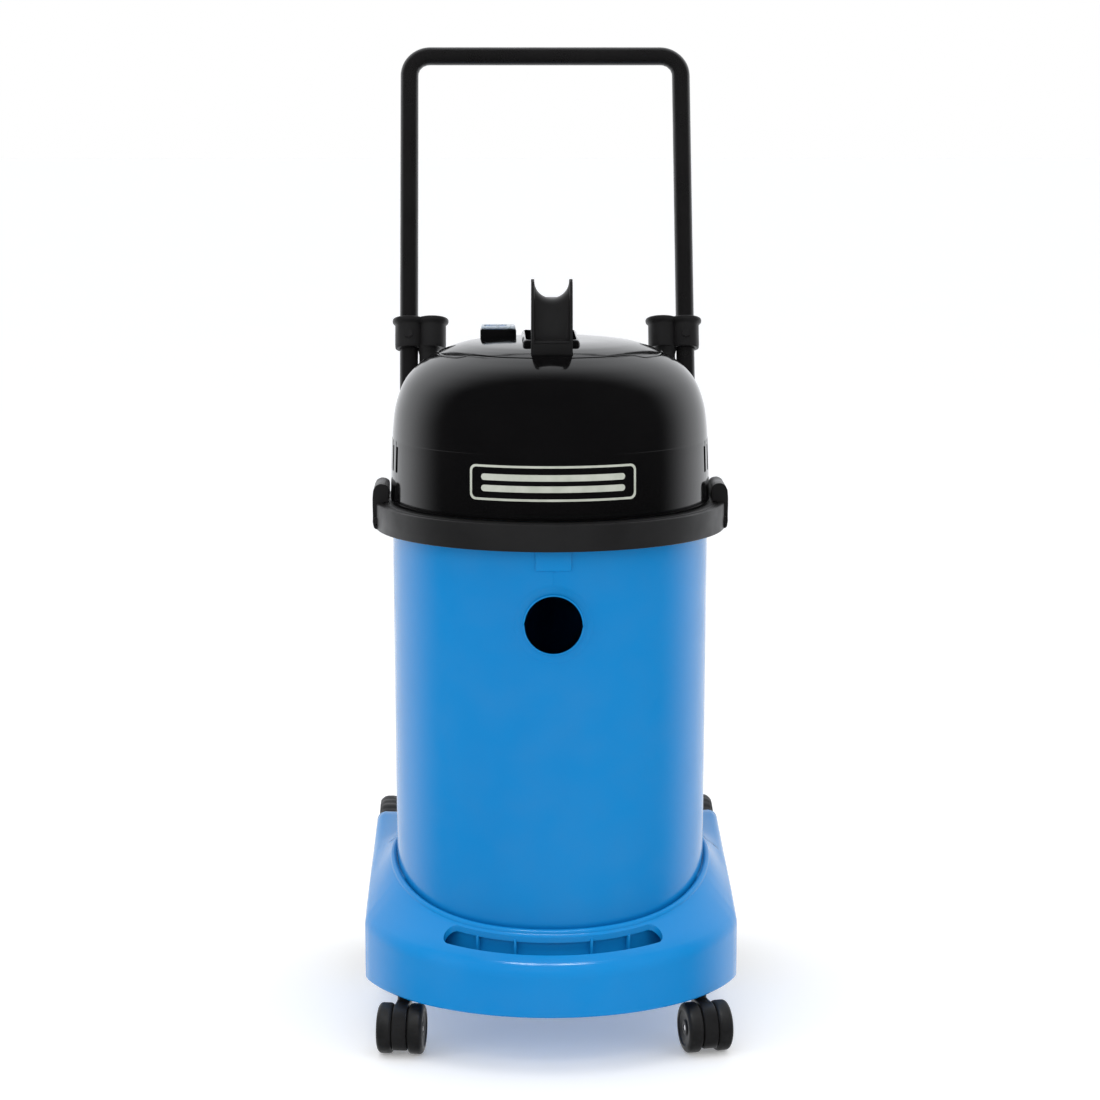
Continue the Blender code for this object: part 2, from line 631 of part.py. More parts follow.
def build_drum(machine):
    outer = drum_outline()
    inner = drum_outline(-DRUM_WALL)
    drum = add_object("drum", turned(outer + inner[::-1], closed=False), machine, "gloss_blue")
    wall_y = -DRUM_RADIUS
    collar = turned([(INLET_RADIUS - BURY, DRUM_RADIUS - 0.012), (INLET_FLANGE, DRUM_RADIUS - 0.012),
                     (INLET_FLANGE, DRUM_RADIUS - 0.001), (INLET_COLLAR + 0.0012,
                                                           DRUM_RADIUS + INLET_PROUD * 0.5),
                     (INLET_COLLAR, DRUM_RADIUS + INLET_PROUD), (INLET_RADIUS - BURY,
                                                                 DRUM_RADIUS + INLET_PROUD)],
                    MEDIUM)
    join(drum, "drum_collar", shifted(facing_front(collar), 0, 0, INLET_HEIGHT))
    half = TAB_WIDTH / 2
    tab_top = BAND_BOTTOM - 0.001
    tab = block((-half, wall_y - TAB_PROUD, tab_top - TAB_HEIGHT),
                (half, wall_y + DRUM_WALL * 0.7, tab_top))
    join(drum, "drum_tab", tab)
    bore = rod((0, wall_y - 0.030, INLET_HEIGHT), (0, wall_y + 0.040, INLET_HEIGHT), INLET_RADIUS, MEDIUM)
    cut(drum, "drum_inlet_bore", bore)
    hole = rod((0, 0, DRUM_FLOOR - PAST), (0, 0, DRUM_FLOOR + PAST), DRUM_BOLT_RADIUS + TOUCH_GAP, 12)
    cut(drum, "drum_bolt_hole", hole)

    lip_bottom = DRUM_TOP + TOUCH_GAP
    band = [(BAND_RADIUS - 0.0015, BAND_BOTTOM), (BAND_RADIUS, BAND_BOTTOM + 0.002),
            (BAND_RADIUS, BAND_TOP - 0.002), (BAND_RADIUS - 0.002, BAND_TOP),
            (BAND_SEAT - BAND_LIP, BAND_TOP), (BAND_SEAT - BAND_LIP, lip_bottom),
            (DRUM_RADIUS + TOUCH_GAP, lip_bottom), (DRUM_RADIUS + TOUCH_GAP, BAND_BOTTOM),
            (BAND_SEAT, BAND_BOTTOM), (BAND_SEAT, BAND_TOP - BAND_WALL),
            (BAND_RADIUS - BAND_WALL, BAND_TOP - BAND_WALL), (BAND_RADIUS - BAND_WALL, BAND_BOTTOM)]
    drum_band = add_object("drum_band", turned(band), machine, "satin_black")
    pockets, lugs, holes = [], [], []
    edge = CLIP_WIDTH / 2 + RUNNING_GAP
    for side in (-1, 1):
        for end in (-1, 1):
            near, far = sorted((end * edge, end * (edge + LUG_WIDTH)))
            start = math.sqrt(BAND_SEAT ** 2 - edge ** 2) - BURY
            low_x, high_x = sorted((side * start, side * (BAND_SEAT + LUG_REACH)))
            lugs.append(block((low_x, near, BAND_BOTTOM + 0.0003), (high_x, far, BAND_BOTTOM + 0.013),
                              0.001))
        long = edge + LUG_WIDTH + 0.0005
        holes.append(rod((side * CLIP_PIN_PLACE, -long, CLIP_PIN_HEIGHT + 0.0035),
                         (side * CLIP_PIN_PLACE, long, CLIP_PIN_HEIGHT + 0.0035),
                         CLIP_PIN_RADIUS + TOUCH_GAP, 12))
        wide = edge + POCKET_ROOM
        low_x, high_x = sorted((side * (BAND_SEAT + 0.0004), side * (BAND_RADIUS + PAST)))
        pockets.append(block((low_x, -wide, BAND_BOTTOM - PAST), (high_x, wide, BAND_TOP + PAST)))
        place = (side * TUBE_HALF_SPAN, TUBE_Y)
        pockets.append(rod((*place, BAND_BOTTOM - PAST), (*place, BAND_TOP + PAST), TUBE_RADIUS + TUBE_ROOM, 16))
    cut(drum_band, "band_pockets", *pockets)
    join(drum_band, "band_lugs", *lugs)
    cut(drum_band, "band_pin_holes", *holes)

    start = BASE_BOTTOM - TOUCH_GAP
    bolt = [(0, start - DRUM_BOLT_HEAD_DEPTH), (DRUM_BOLT_HEAD, start - DRUM_BOLT_HEAD_DEPTH),
            (DRUM_BOLT_HEAD, start), (DRUM_BOLT_RADIUS, start),
            (DRUM_BOLT_RADIUS, DRUM_FLOOR + 0.012), (0, DRUM_FLOOR + 0.012)]
    add_object("drum_bolt", turned(bolt, 8, closed=False), machine, "bright_steel")


def build_inlet(machine):
    tube = INLET_RADIUS - TOUCH_GAP
    bore = tube - DEFLECTOR_WALL
    mouth = DRUM_RADIUS - 0.001
    back = mouth - DEFLECTOR_REACH
    outline = [(0, back), (tube, back), (tube, mouth), (bore, mouth),
               (bore, back + DEFLECTOR_WALL), (0, back + DEFLECTOR_WALL)]
    shape = facing_front(in_bore(turned(outline, MEDIUM, closed=False), MEDIUM))
    shape = shifted(shape, 0, 0, INLET_HEIGHT)
    deflector = add_object("inlet_deflector", shape, machine, "satin_black")
    outlet = block((-tube - 0.002, -back - 0.036, INLET_HEIGHT - tube - 0.002),
                   (tube + 0.002, -back - DEFLECTOR_WALL, INLET_HEIGHT - 0.010))
    cut(deflector, "deflector_outlet", outlet)
    start = mouth + TOUCH_GAP
    seal = in_bore(ring(tube - SEAL_WIDTH, tube, start, start + SEAL_DEPTH, MEDIUM), MEDIUM)
    add_object("inlet_seal", shifted(facing_front(seal), 0, 0, INLET_HEIGHT), machine, "black_rubber")


# ---- clips -------------------------------------------------------------------------------

def build_clips(machine):
    for side, name in ((-1, "left"), (1, "right")):
        hinge_z = CLIP_PIN_HEIGHT + 0.0035
        hinge = empty("clip_hinge_" + name, (side * CLIP_PIN_PLACE, 0, hinge_z), machine)
        back = CLIP_BARREL + 0.0006
        top = CLIP_HEIGHT - 0.0035
        front = back - CLIP_THICKNESS
        tip = back - CLIP_THICKNESS - CLIP_HOOK
        outline = [(front, 0.002)]
        outline += [(-CLIP_BARREL * math.cos(a), -CLIP_BARREL * math.sin(a)) for a in spread(0, math.pi,
                                                                                             7)]
        outline += [(back, 0.010), (back, top - 0.012), (back - 0.002, top - 0.004), (back - 0.007, top),
                    (tip + 0.003, top - 0.0012), (tip, top - 0.004), (tip + 0.002, top - 0.0058),
                    (front - 0.003, top - 0.0066), (front, top - 0.011)]
        shape = prism([(side * x, z) for x, z in outline], CLIP_WIDTH)
        shape = shifted(along_y(shape), 0, CLIP_WIDTH / 2, 0)
        clip = add_object("clip_" + name, shape, hinge, "satin_black")
        cut(clip, "clip_bore_" + name, rod((0, -0.040, 0), (0, 0.040, 0),
                                           CLIP_PIN_RADIUS + RUNNING_GAP / 2, 12))
        reach = CLIP_WIDTH / 2 + RUNNING_GAP + LUG_WIDTH
        place = side * CLIP_PIN_PLACE
        pin = rod((place, -reach, hinge_z), (place, reach, hinge_z), CLIP_PIN_RADIUS, 12)
        add_object("clip_pin_" + name, pin, machine, "bright_steel")


# ---- head --------------------------------------------------------------------------------

def vent_angles():
    return [side * (VENT_START + VENT_PITCH * i) for side in (-1, 1) for i in range(VENTS_PER_SIDE)]


def dome_outline():
    """Outer side of the dome from its bottom edge up to the cap's seam."""
    low = SKIRT_RADIUS - SKIRT_DRAFT
    waist_z = DOME_BOTTOM + 0.034
    waist = low - 0.0031
    points = [(low, DOME_BOTTOM), (waist, waist_z)]
    # The shoulder is a quarter of a flattened round, which meets the cap at a shallow slope.
    wide = waist - CAP_RADIUS
    tall = CAP_EDGE - waist_z
    for angle in spread(0, math.radians(76), 7)[1:]:
        points.append((waist - wide * (1 - math.cos(angle)) / (1 - math.cos(math.radians(76))),
                       waist_z + tall * math.sin(angle) / math.sin(math.radians(76))))
    return points


def inset(points, distance):
    """Shift an open outline to its left-hand side by a wall's thickness."""
    result = []
    for i, point in enumerate(points):
        before = Vector(points[max(i - 1, 0)])
        after = Vector(points[min(i + 1, len(points) - 1)])
        along = (after - before).normalized()
        result.append((point[0] - along.y * distance, point[1] + along.x * distance))
    return result


def build_casings(head):
    top_radius = SKIRT_RADIUS - SKIRT_DRAFT
    seat = PLATE_TOP + TOUCH_GAP
    inner = SKIRT_RADIUS - HEAD_WALL
    profile = [(SKIRT_RADIUS, SKIRT_BOTTOM), (top_radius, SKIRT_TOP), (top_radius - HEAD_WALL, SKIRT_TOP),
               (inner - 0.0006, seat + HEAD_WALL), (inner - 0.009, seat + HEAD_WALL),
               (inner - 0.009, seat), (inner, seat), (inner, SKIRT_BOTTOM)]
    skirt = add_object("head_skirt", turned(profile), head, "gloss_black")
    slots = []
    for angle in vent_angles():
        slot = block((-VENT_WIDTH / 2, -0.170, SKIRT_TOP - VENT_HEIGHT),
                     (VENT_WIDTH / 2, -0.150, SKIRT_TOP + 0.01))
        slots.append(moved(slot, Matrix.Rotation(angle, 4, "Z")))
    cut(skirt, "skirt_vents", *slots)
    gland_hole = rod((0, 0.150, gland_height()), (0, 0.170, gland_height()), GLAND_RADIUS + 0.0005, 12)
    cut(skirt, "skirt_gland_hole", gland_hole)

    foam_outer = top_radius - HEAD_WALL - 0.001
    foam = ring(foam_outer - FOAM_THICKNESS, foam_outer, SKIRT_TOP - VENT_HEIGHT - 0.006,
                SKIRT_TOP - 0.001)
    add_object("exhaust_foam", foam, head, "foam")

    outside = dome_outline()
    inside = inset(outside, HEAD_WALL)[:-1] + [(CAP_RADIUS, CAP_EDGE - HEAD_WALL)]
    dome = add_object("head_dome", turned(outside + inside[::-1]), head, "gloss_black")
    boss_top = CAP_EDGE - 0.010
    bosses = [rod((x, y, SKIRT_TOP - 0.006), (x, y, boss_top), SCREW_BOSS_RADIUS, 12) for x,
              y in head_screw_places()]
    join(dome, "dome_bosses", *bosses)

    edge = CAP_RADIUS - SEAM / 2
    top = [(edge * out, CAP_TOP - CAP_RISE * lost) for out, lost in CAP_LINE]
    shape = top + [(edge, CAP_EDGE), (edge, CAP_EDGE - HEAD_WALL)]
    shape += [(radius, height - HEAD_WALL) for radius, height in top[::-1]]
    cap = add_object("head_cap", turned(shape, closed=False), head, "gloss_black")
    half = TROUGH_WIDTH / 2
    front = HANDLE_FRONT + HANDLE_POST + 0.001
    rear = HANDLE_REAR - HANDLE_POST - 0.001
    well = block((-half - HEAD_WALL, front - HEAD_WALL, TROUGH_FLOOR - HEAD_WALL),
                 (half + HEAD_WALL, rear + HEAD_WALL, CAP_TOP - HEAD_WALL * 0.9))
    join(cap, "cap_well", well)
    seat_size = 0.001
    switch_seat = block((SWITCH_X - SWITCH_LENGTH / 2 - seat_size,
                         SWITCH_Y - SWITCH_WIDTH / 2 - seat_size, CAP_TOP - 0.010),
                        (SWITCH_X + SWITCH_LENGTH / 2 + seat_size,
                         SWITCH_Y + SWITCH_WIDTH / 2 + seat_size, SWITCH_SEAT))
    join(cap, "cap_switch_seat", switch_seat)
    trough = block((-half, front, TROUGH_FLOOR), (half, rear, CAP_TOP + PAST))
    cut(cap, "cap_trough", trough)
    feet = []
    for low, high in ((HANDLE_FRONT, HANDLE_FRONT + HANDLE_POST),
                      (HANDLE_REAR - HANDLE_POST, HANDLE_REAR)):
        feet.append(block((-HANDLE_WIDTH / 2 - TOUCH_GAP, low - TOUCH_GAP, TROUGH_FLOOR + 0.004),
                          (HANDLE_WIDTH / 2 + TOUCH_GAP, high + TOUCH_GAP, CAP_TOP + PAST)))
    cut(cap, "cap_handle_seats", *feet)
    x, y = SWITCH_X, SWITCH_Y
    hole = block((x - SWITCH_BODY_LENGTH / 2, y - SWITCH_BODY_WIDTH / 2, CAP_TOP - 0.020),
                 (x + SWITCH_BODY_LENGTH / 2, y + SWITCH_BODY_WIDTH / 2, SWITCH_SEAT + PAST))
    cut(cap, "cap_switch_hole", hole)


def gland_height():
    return SKIRT_BOTTOM + SKIRT_HEIGHT * 0.6


def head_screw_places():
    return [(side * HEAD_SCREW_PLACE, 0.0) for side in (-1, 1)]


def build_carry_handle(head):
    half = HANDLE_WIDTH / 2
    foot = TROUGH_FLOOR + 0.0045
    low = HANDLE_FRONT
    post_end = HANDLE_FRONT + HANDLE_POST
    rear_start = HANDLE_REAR - HANDLE_POST
    grip_low = GRIP_TOP - GRIP_THICKNESS
    front_post = prism([(low + 0.004, foot), (post_end, foot), (post_end, GRIP_TOP - 0.002),
                        (low + 0.020, HANDLE_TIP), (low + 0.006, HANDLE_TIP), (low,
                                                                               CAP_TOP)], HANDLE_WIDTH)
    # The side outline is drawn in (Y, Z), so it is stood up and turned to face along the machine.
    stand = Matrix(((0, 0, 1, -half), (1, 0, 0, 0), (0, 1, 0, 0), (0, 0, 0, 1)))
    moved(front_post, stand)
    handle = add_object("carry_handle", front_post, head, "satin_black")
    rear_post = prism([(rear_start, foot), (HANDLE_REAR - 0.002, foot), (HANDLE_REAR, CAP_TOP),
                       (HANDLE_REAR - 0.007, GRIP_TOP - 0.007), (rear_start + 0.010, GRIP_TOP - 0.003),
                       (rear_start, GRIP_TOP - 0.002)], HANDLE_WIDTH)
    join(handle, "handle_rear_post", moved(rear_post, stand))
    grip = block((-GRIP_WIDTH / 2, post_end - 2 * BURY, grip_low),
                 (GRIP_WIDTH / 2, rear_start + 2 * BURY, GRIP_TOP), GRIP_ROUND)
    join(handle, "handle_grip", grip)
    inner = half - HANDLE_SIDE
    channel = block((-inner, low - PAST, CAP_TOP - 0.002), (inner, low + HANDLE_WEB, HANDLE_TIP + PAST))
    cut(handle, "handle_channel", channel)
    deep = HANDLE_TIP - NOTCH_DROP
    notch = rod((0, low - PAST, deep), (0, post_end + PAST, deep), NOTCH_RADIUS, 20)
    cut(handle, "handle_notch", notch)


def build_switch(head):
    x, y = SWITCH_X, SWITCH_Y
    gap = TOUCH_GAP
    half_x = SWITCH_BODY_LENGTH / 2 - gap
    half_y = SWITCH_BODY_WIDTH / 2 - gap
    shape = block((x - half_x, y - half_y, CAP_TOP - SWITCH_BODY_DEPTH),
                  (x + half_x, y + half_y, SWITCH_SEAT - gap))
    housing = add_object("switch_housing", shape, head, "satin_black")
    room = RUNNING_GAP
    rocker_x = x - 0.003
    pocket = block((rocker_x - ROCKER_LENGTH / 2 - room, y - ROCKER_WIDTH / 2 - room,
                    SWITCH_SEAT - ROCKER_HEIGHT),
                   (rocker_x + ROCKER_LENGTH / 2 + room, y + ROCKER_WIDTH / 2 + room, SWITCH_SEAT + PAST))
    cut(housing, "switch_pocket", pocket)
    pivot_z = SWITCH_SEAT - 0.002
    pivot = empty("switch_pivot", (rocker_x, y, pivot_z), head)
    half = ROCKER_LENGTH / 2
    drop = ROCKER_HEIGHT * 0.42
    side = prism([(-half * 0.72, -drop), (half * 0.72, -drop), (half, 0.0024), (half * 0.96, 0.0052),
                  (0, 0.0036), (-half * 0.96, 0.0052), (-half, 0.0024)], ROCKER_WIDTH)
    rocker = shifted(along_y(side), 0, ROCKER_WIDTH / 2, 0)
    add_object("switch_rocker", rocker, pivot, "switch_blue")
    cover = block((x - SWITCH_LENGTH / 2, y - SWITCH_WIDTH / 2, SWITCH_SEAT + gap),
                  (x + SWITCH_LENGTH / 2, y + SWITCH_WIDTH / 2, SWITCH_SEAT + COVER_HEIGHT), 0.002)
    surround = add_object("switch_cover", cover, head, "clear_silicone")
    window = block((rocker_x - ROCKER_LENGTH / 2 - room - 0.001, y - ROCKER_WIDTH / 2 - room - 0.001,
                    SWITCH_SEAT - PAST),
                   (rocker_x + ROCKER_LENGTH / 2 + room + 0.001, y + ROCKER_WIDTH / 2 + room + 0.001,
                    SWITCH_SEAT + 2 * PAST))
    cut(surround, "cover_window", window)


def build_gland(head):
    wall = SKIRT_RADIUS - SKIRT_DRAFT * 0.6
    profile = [(0, wall - HEAD_WALL - 0.0005), (GLAND_RADIUS, wall - HEAD_WALL - 0.0005),
               (GLAND_RADIUS, wall + 0.0010),
               (0.011, wall + 0.0010), (0.011, wall + 0.0045), (0.0085, wall + 0.0060),
               (0.0068, wall + 0.0230), (0.0042, wall + 0.0230), (0.0042, wall + 0.0060), (0,
                                                                                           wall + 0.0060)]
    gland = moved(turned(profile, SMALL, closed=False), Matrix.Rotation(math.radians(-90), 4, "X"))
    add_object("cable_gland", shifted(gland, 0, 0, gland_height()), head, "black_rubber")


# ---- motor, fan and float ------------------------------------------------------------------

def blades(count, inner, outer, thickness, bottom, top):
    blade = [block((inner, -thickness / 2, bottom), (outer, thickness / 2, top)) for _ in range(count)]
    return [moved(shape, Matrix.Rotation(2 * math.pi * i / count, 4, "Z")) for i,
            shape in enumerate(blade)]


def build_motor(head, rotor):
    gap = TOUCH_GAP
    plate = add_object("motor_plate", ring(PLATE_EYE, SKIRT_RADIUS - HEAD_WALL - gap, PLATE_BOTTOM,
                                           PLATE_TOP),
                       head, "grey_plastic")
    holes = [rod((x, y, PLATE_BOTTOM - PAST), (x, y, PLATE_TOP + PAST), HEAD_SCREW_RADIUS + TOUCH_GAP,
                 10) for x, y in head_screw_places()]
    cut(plate, "plate_screw_holes", *holes)
    screw = [(0, -0.003), (HEAD_SCREW_HEAD, -0.003), (HEAD_SCREW_HEAD, 0.0), (HEAD_SCREW_RADIUS, 0.0),
             (HEAD_SCREW_RADIUS, HEAD_SCREW_LENGTH), (0, HEAD_SCREW_LENGTH)]
    for name, (x, y) in zip(("left", "right"), head_screw_places()):
        shape = shifted(turned(screw, 8, closed=False), x, y, PLATE_BOTTOM - gap)
        add_object("head_screw_" + name, shape, head, "bright_steel")
    seal_outer = DRUM_RADIUS - 0.0015
    add_object("head_seal", ring(seal_outer - 0.0085, seal_outer, SEAL_BOTTOM, PLATE_BOTTOM - gap),
               head, "black_rubber")

    can = FAN_HOUSING_RADIUS
    add_object("motor_gasket_lower", ring(can - 0.012, can, PLATE_TOP + gap, FAN_HOUSING_BOTTOM - gap,
                                          INSIDE),
               head, "black_rubber")
    low, high = FAN_HOUSING_BOTTOM, FAN_HOUSING_TOP
    bearing_hole = BEARING_RADIUS + gap
    profile = [(PLATE_EYE, low), (can, low), (can, high), (bearing_hole, high),
               (bearing_hole, high - CAN_WALL),
               (can - CAN_WALL, high - CAN_WALL), (can - CAN_WALL, low + CAN_WALL), (PLATE_EYE,
                                                                                     low + CAN_WALL)]
    housing = add_object("fan_housing", turned(profile, INSIDE), head, "bright_steel")
    cut(housing, "fan_outlets", *blades(6, can - 0.006, can + 0.006, 0.018, high - 0.012, high - 0.004))
    add_object("motor_gasket_upper", ring(can - 0.010, can, high + gap, high + gap + GASKET_THICKNESS,
                                          INSIDE),
               head, "black_rubber")

    bottom, top, wide = FRAME_BOTTOM, FRAME_TOP, FRAME_RADIUS
    profile = [(wide - FRAME_WALL, bottom), (wide + 0.008, bottom), (wide + 0.008, bottom + FRAME_WALL),
               (wide, bottom + FRAME_WALL), (wide, top - 0.008), (0.022, top), (bearing_hole, top),
               (bearing_hole, top - FRAME_WALL), (0.022, top - FRAME_WALL), (wide - FRAME_WALL,
                                                                             top - 0.010)]
    frame = add_object("motor_frame", turned(profile, INSIDE), head, "grey_plastic")
    brush_room = 0.0006
    windows = [block((side_low, -BRUSH_WIDTH / 2 - brush_room, BRUSH_Z - BRUSH_WIDTH / 2 - brush_room),
                     (side_high, BRUSH_WIDTH / 2 + brush_room, BRUSH_Z + BRUSH_WIDTH / 2 + brush_room))
               for side_low, side_high in ((-0.060, -0.030), (0.030, 0.060))]
    cut(frame, "brush_windows", *windows)
    core = ring(ARMATURE_RADIUS + 0.001, wide - FRAME_WALL - gap, CORE_BOTTOM,
                CORE_BOTTOM + CORE_LENGTH, INSIDE)
    add_object("field_core", core, head, "bright_steel")
    for side, name in ((-1, "left"), (1, "right")):
        start = 0.0128
        low_x, high_x = sorted((side * start, side * (start + BRUSH_LENGTH)))
        brush = block((low_x, -BRUSH_WIDTH / 2, BRUSH_Z - BRUSH_WIDTH / 2),
                      (high_x, BRUSH_WIDTH / 2, BRUSH_Z + BRUSH_WIDTH / 2))
        add_object("carbon_brush_" + name, brush, head, "carbon")
    bore = SHAFT_RADIUS + gap
    lower_z = high - CAN_WALL - 0.002
    add_object("bearing_lower", ring(bore, BEARING_RADIUS, lower_z, lower_z + BEARING_HEIGHT, SMALL),
               head, "bright_steel")
    upper_z = top - FRAME_WALL - 0.003
    add_object("bearing_upper", ring(bore, BEARING_RADIUS, upper_z, upper_z + BEARING_HEIGHT, SMALL),
               head, "bright_steel")

    shaft_low = low + 0.004
    cooler_z = upper_z + BEARING_HEIGHT + 0.002
    shaft_high = cooler_z + 0.0075
    core_end = CORE_BOTTOM + CORE_LENGTH
    profile = [(0, shaft_low), (SHAFT_RADIUS, shaft_low), (SHAFT_RADIUS, CORE_BOTTOM),
               (ARMATURE_RADIUS, CORE_BOTTOM),
               (ARMATURE_RADIUS, core_end), (0.012, core_end + 0.004), (0.012, BRUSH_Z + 0.006),
               (SHAFT_RADIUS, BRUSH_Z + 0.006), (SHAFT_RADIUS, shaft_high), (0, shaft_high)]
    add_object("armature", turned(profile, INSIDE, closed=False), rotor, "copper")
    back = lower_z - 0.0025
    eye = back - IMPELLER_DEPTH
    hub = [(bore, eye), (0.010, eye), (0.010, back - CAN_WALL), (IMPELLER_RADIUS, back - CAN_WALL),
           (IMPELLER_RADIUS, back), (bore, back)]
    impeller = add_object("impeller", turned(hub, INSIDE), rotor, "bright_steel")
    join(impeller, "impeller_vanes", *blades(IMPELLER_VANES, VANE_START, IMPELLER_RADIUS - 0.001,
                                             CAN_WALL,
                                             eye, back - CAN_WALL * 0.4))
    hub = [(bore, cooler_z), (COOLER_RADIUS, cooler_z), (COOLER_RADIUS, cooler_z + CAN_WALL),
           (0.009, cooler_z + CAN_WALL), (0.009, cooler_z + 0.006), (bore, cooler_z + 0.006)]
    cooler = add_object("cooling_fan", turned(hub, INSIDE), rotor, "grey_plastic")
    join(cooler, "cooler_blades", *blades(COOLER_BLADES, 0.013, COOLER_RADIUS - 0.001, 0.0014,
                                          cooler_z + CAN_WALL * 0.4, cooler_z + 0.006))

    cowl_low = high + gap + GASKET_THICKNESS + gap
    hole = COOLER_RADIUS + 0.004
    wall = 0.0025
    profile = [(COWL_RADIUS - 0.008, cowl_low), (COWL_RADIUS + 0.004, cowl_low),
               (COWL_RADIUS + 0.004, cowl_low + wall),
               (COWL_RADIUS, cowl_low + wall), (COWL_RADIUS, COWL_TOP - 0.010), (COWL_RADIUS - 0.010,
                                                                                 COWL_TOP),
               (hole, COWL_TOP), (hole, COWL_TOP - wall), (COWL_RADIUS - 0.011, COWL_TOP - wall),
               (COWL_RADIUS - wall, COWL_TOP - 0.011), (COWL_RADIUS - wall, cowl_low + wall),
               (COWL_RADIUS - 0.008, cowl_low + wall)]
    add_object("motor_cowl", turned(profile, INSIDE), head, "satin_black")


def build_float(head, float_holder):
    top = PLATE_BOTTOM - TOUCH_GAP
    bottom = top - CAGE_DEPTH
    inner = CAGE_RADIUS - CAGE_WALL
    profile = [(0, bottom), (CAGE_RADIUS, bottom), (CAGE_RADIUS, top - CAGE_WALL),
               (CAGE_RADIUS + CAGE_FLANGE, top - CAGE_WALL),
               (CAGE_RADIUS + CAGE_FLANGE, top), (inner, top), (inner, bottom + CAGE_WALL),
               (0, bottom + CAGE_WALL)]
    cage = add_object("float_cage", turned(profile, INSIDE, closed=False), head, "grey_plastic")
    cut(cage, "cage_windows", *blades(CAGE_BARS, CAGE_RADIUS - PAST, CAGE_RADIUS + PAST, CAGE_WINDOW,
                                      bottom + 0.014, top - 0.016))
    rest = bottom + CAGE_WALL + TOUCH_GAP
    profile = [(0, rest), (FLOAT_RADIUS - 0.004, rest), (FLOAT_RADIUS, rest + 0.004),
               (FLOAT_RADIUS, rest + FLOAT_HEIGHT - 0.008), (FLOAT_RADIUS - 0.010, rest + FLOAT_HEIGHT),
               (0, rest + FLOAT_HEIGHT)]
    add_object("float_ball", turned(profile, INSIDE, closed=False), float_holder, "float_white")


# ---- push handle -----------------------------------------------------------------------------

def lean_axis():
    return Vector((0, math.sin(TUBE_LEAN), math.cos(TUBE_LEAN)))


def handle_top_y():
    return TUBE_Y + (TUBE_TOP - TUBE_KNEE) * math.tan(TUBE_LEAN)


def bend(corner, before, after, radius, count):
    """Points of a round bend that touches both straight runs."""
    arrive = (corner - before).normalized()
    leave = (after - corner).normalized()
    turn = arrive.angle(leave)
    cut_back = radius * math.tan(turn / 2)
    centre = corner + (leave - arrive).normalized() * (radius / math.cos(turn / 2))
    start = corner - arrive * cut_back - centre
    axis = arrive.cross(leave).normalized()
    return [centre + Matrix.Rotation(turn * i / (count - 1), 3, axis) @ start for i in range(count)]


def handle_route():
    foot = Vector((TUBE_HALF_SPAN, TUBE_Y, TUBE_BOTTOM))
    knee = Vector((TUBE_HALF_SPAN, TUBE_Y, TUBE_KNEE))
    corner = Vector((TUBE_HALF_SPAN, handle_top_y(), TUBE_TOP))
    middle = Vector((0, handle_top_y(), TUBE_TOP))
    half = [foot] + bend(knee, foot, corner, KNEE_BEND, 5) + bend(corner, knee, middle, CORNER_BEND, 6)
    return half + [Vector((-p.x, p.y, p.z)) for p in reversed(half)]


def swept(route, radius, steps):
    """A round bar along a route, whose sections stay square to it."""
    sections = []
    side = Vector((0, 1, 0))
    for i, point in enumerate(route):
        along = (route[min(i + 1, len(route) - 1)] - route[max(i - 1, 0)]).normalized()
        side = (side - along * side.dot(along)).normalized()
        other = along.cross(side)
        sections.append([point + radius * (side * math.cos(2 * math.pi * k / steps)
                                           + other * math.sin(2 * math.pi * k / steps)) for k in range(steps)])
    return loft(sections)


def build_push_handle(machine):
    frame = add_object("handle_frame", swept(handle_route(), TUBE_RADIUS, 12), machine, "coated_steel")
    holes = [rod((side * TUBE_HALF_SPAN, TUBE_Y - 0.020, BOLT_HEIGHT),
                 (side * TUBE_HALF_SPAN, TUBE_Y + 0.020, BOLT_HEIGHT),
                 BOLT_RADIUS + TOUCH_GAP, 12) for side in (-1, 1)]
    cut(frame, "tube_bolt_holes", *holes)
    face = ARM_END + TOUCH_GAP
    bolt = [(0, TUBE_Y - TUBE_RADIUS + 0.001), (BOLT_RADIUS, TUBE_Y - TUBE_RADIUS + 0.001),
            (BOLT_RADIUS, face), (BOLT_HEAD_RADIUS, face), (BOLT_HEAD_RADIUS, face + 0.0035),
            (0.0045, face + 0.0045), (0, face + 0.0045)]
    for side, name in ((-1, "left"), (1, "right")):
        shape = moved(turned(bolt, 8, closed=False), Matrix.Rotation(math.radians(-90), 4, "X"))
        add_object("frame_bolt_" + name, shifted(shape, side * TUBE_HALF_SPAN, 0, BOLT_HEIGHT), machine,
                   "bright_steel")
    for side, name in ((-1, "left"), (1, "right")):
        build_tool_holder(machine, side, name)


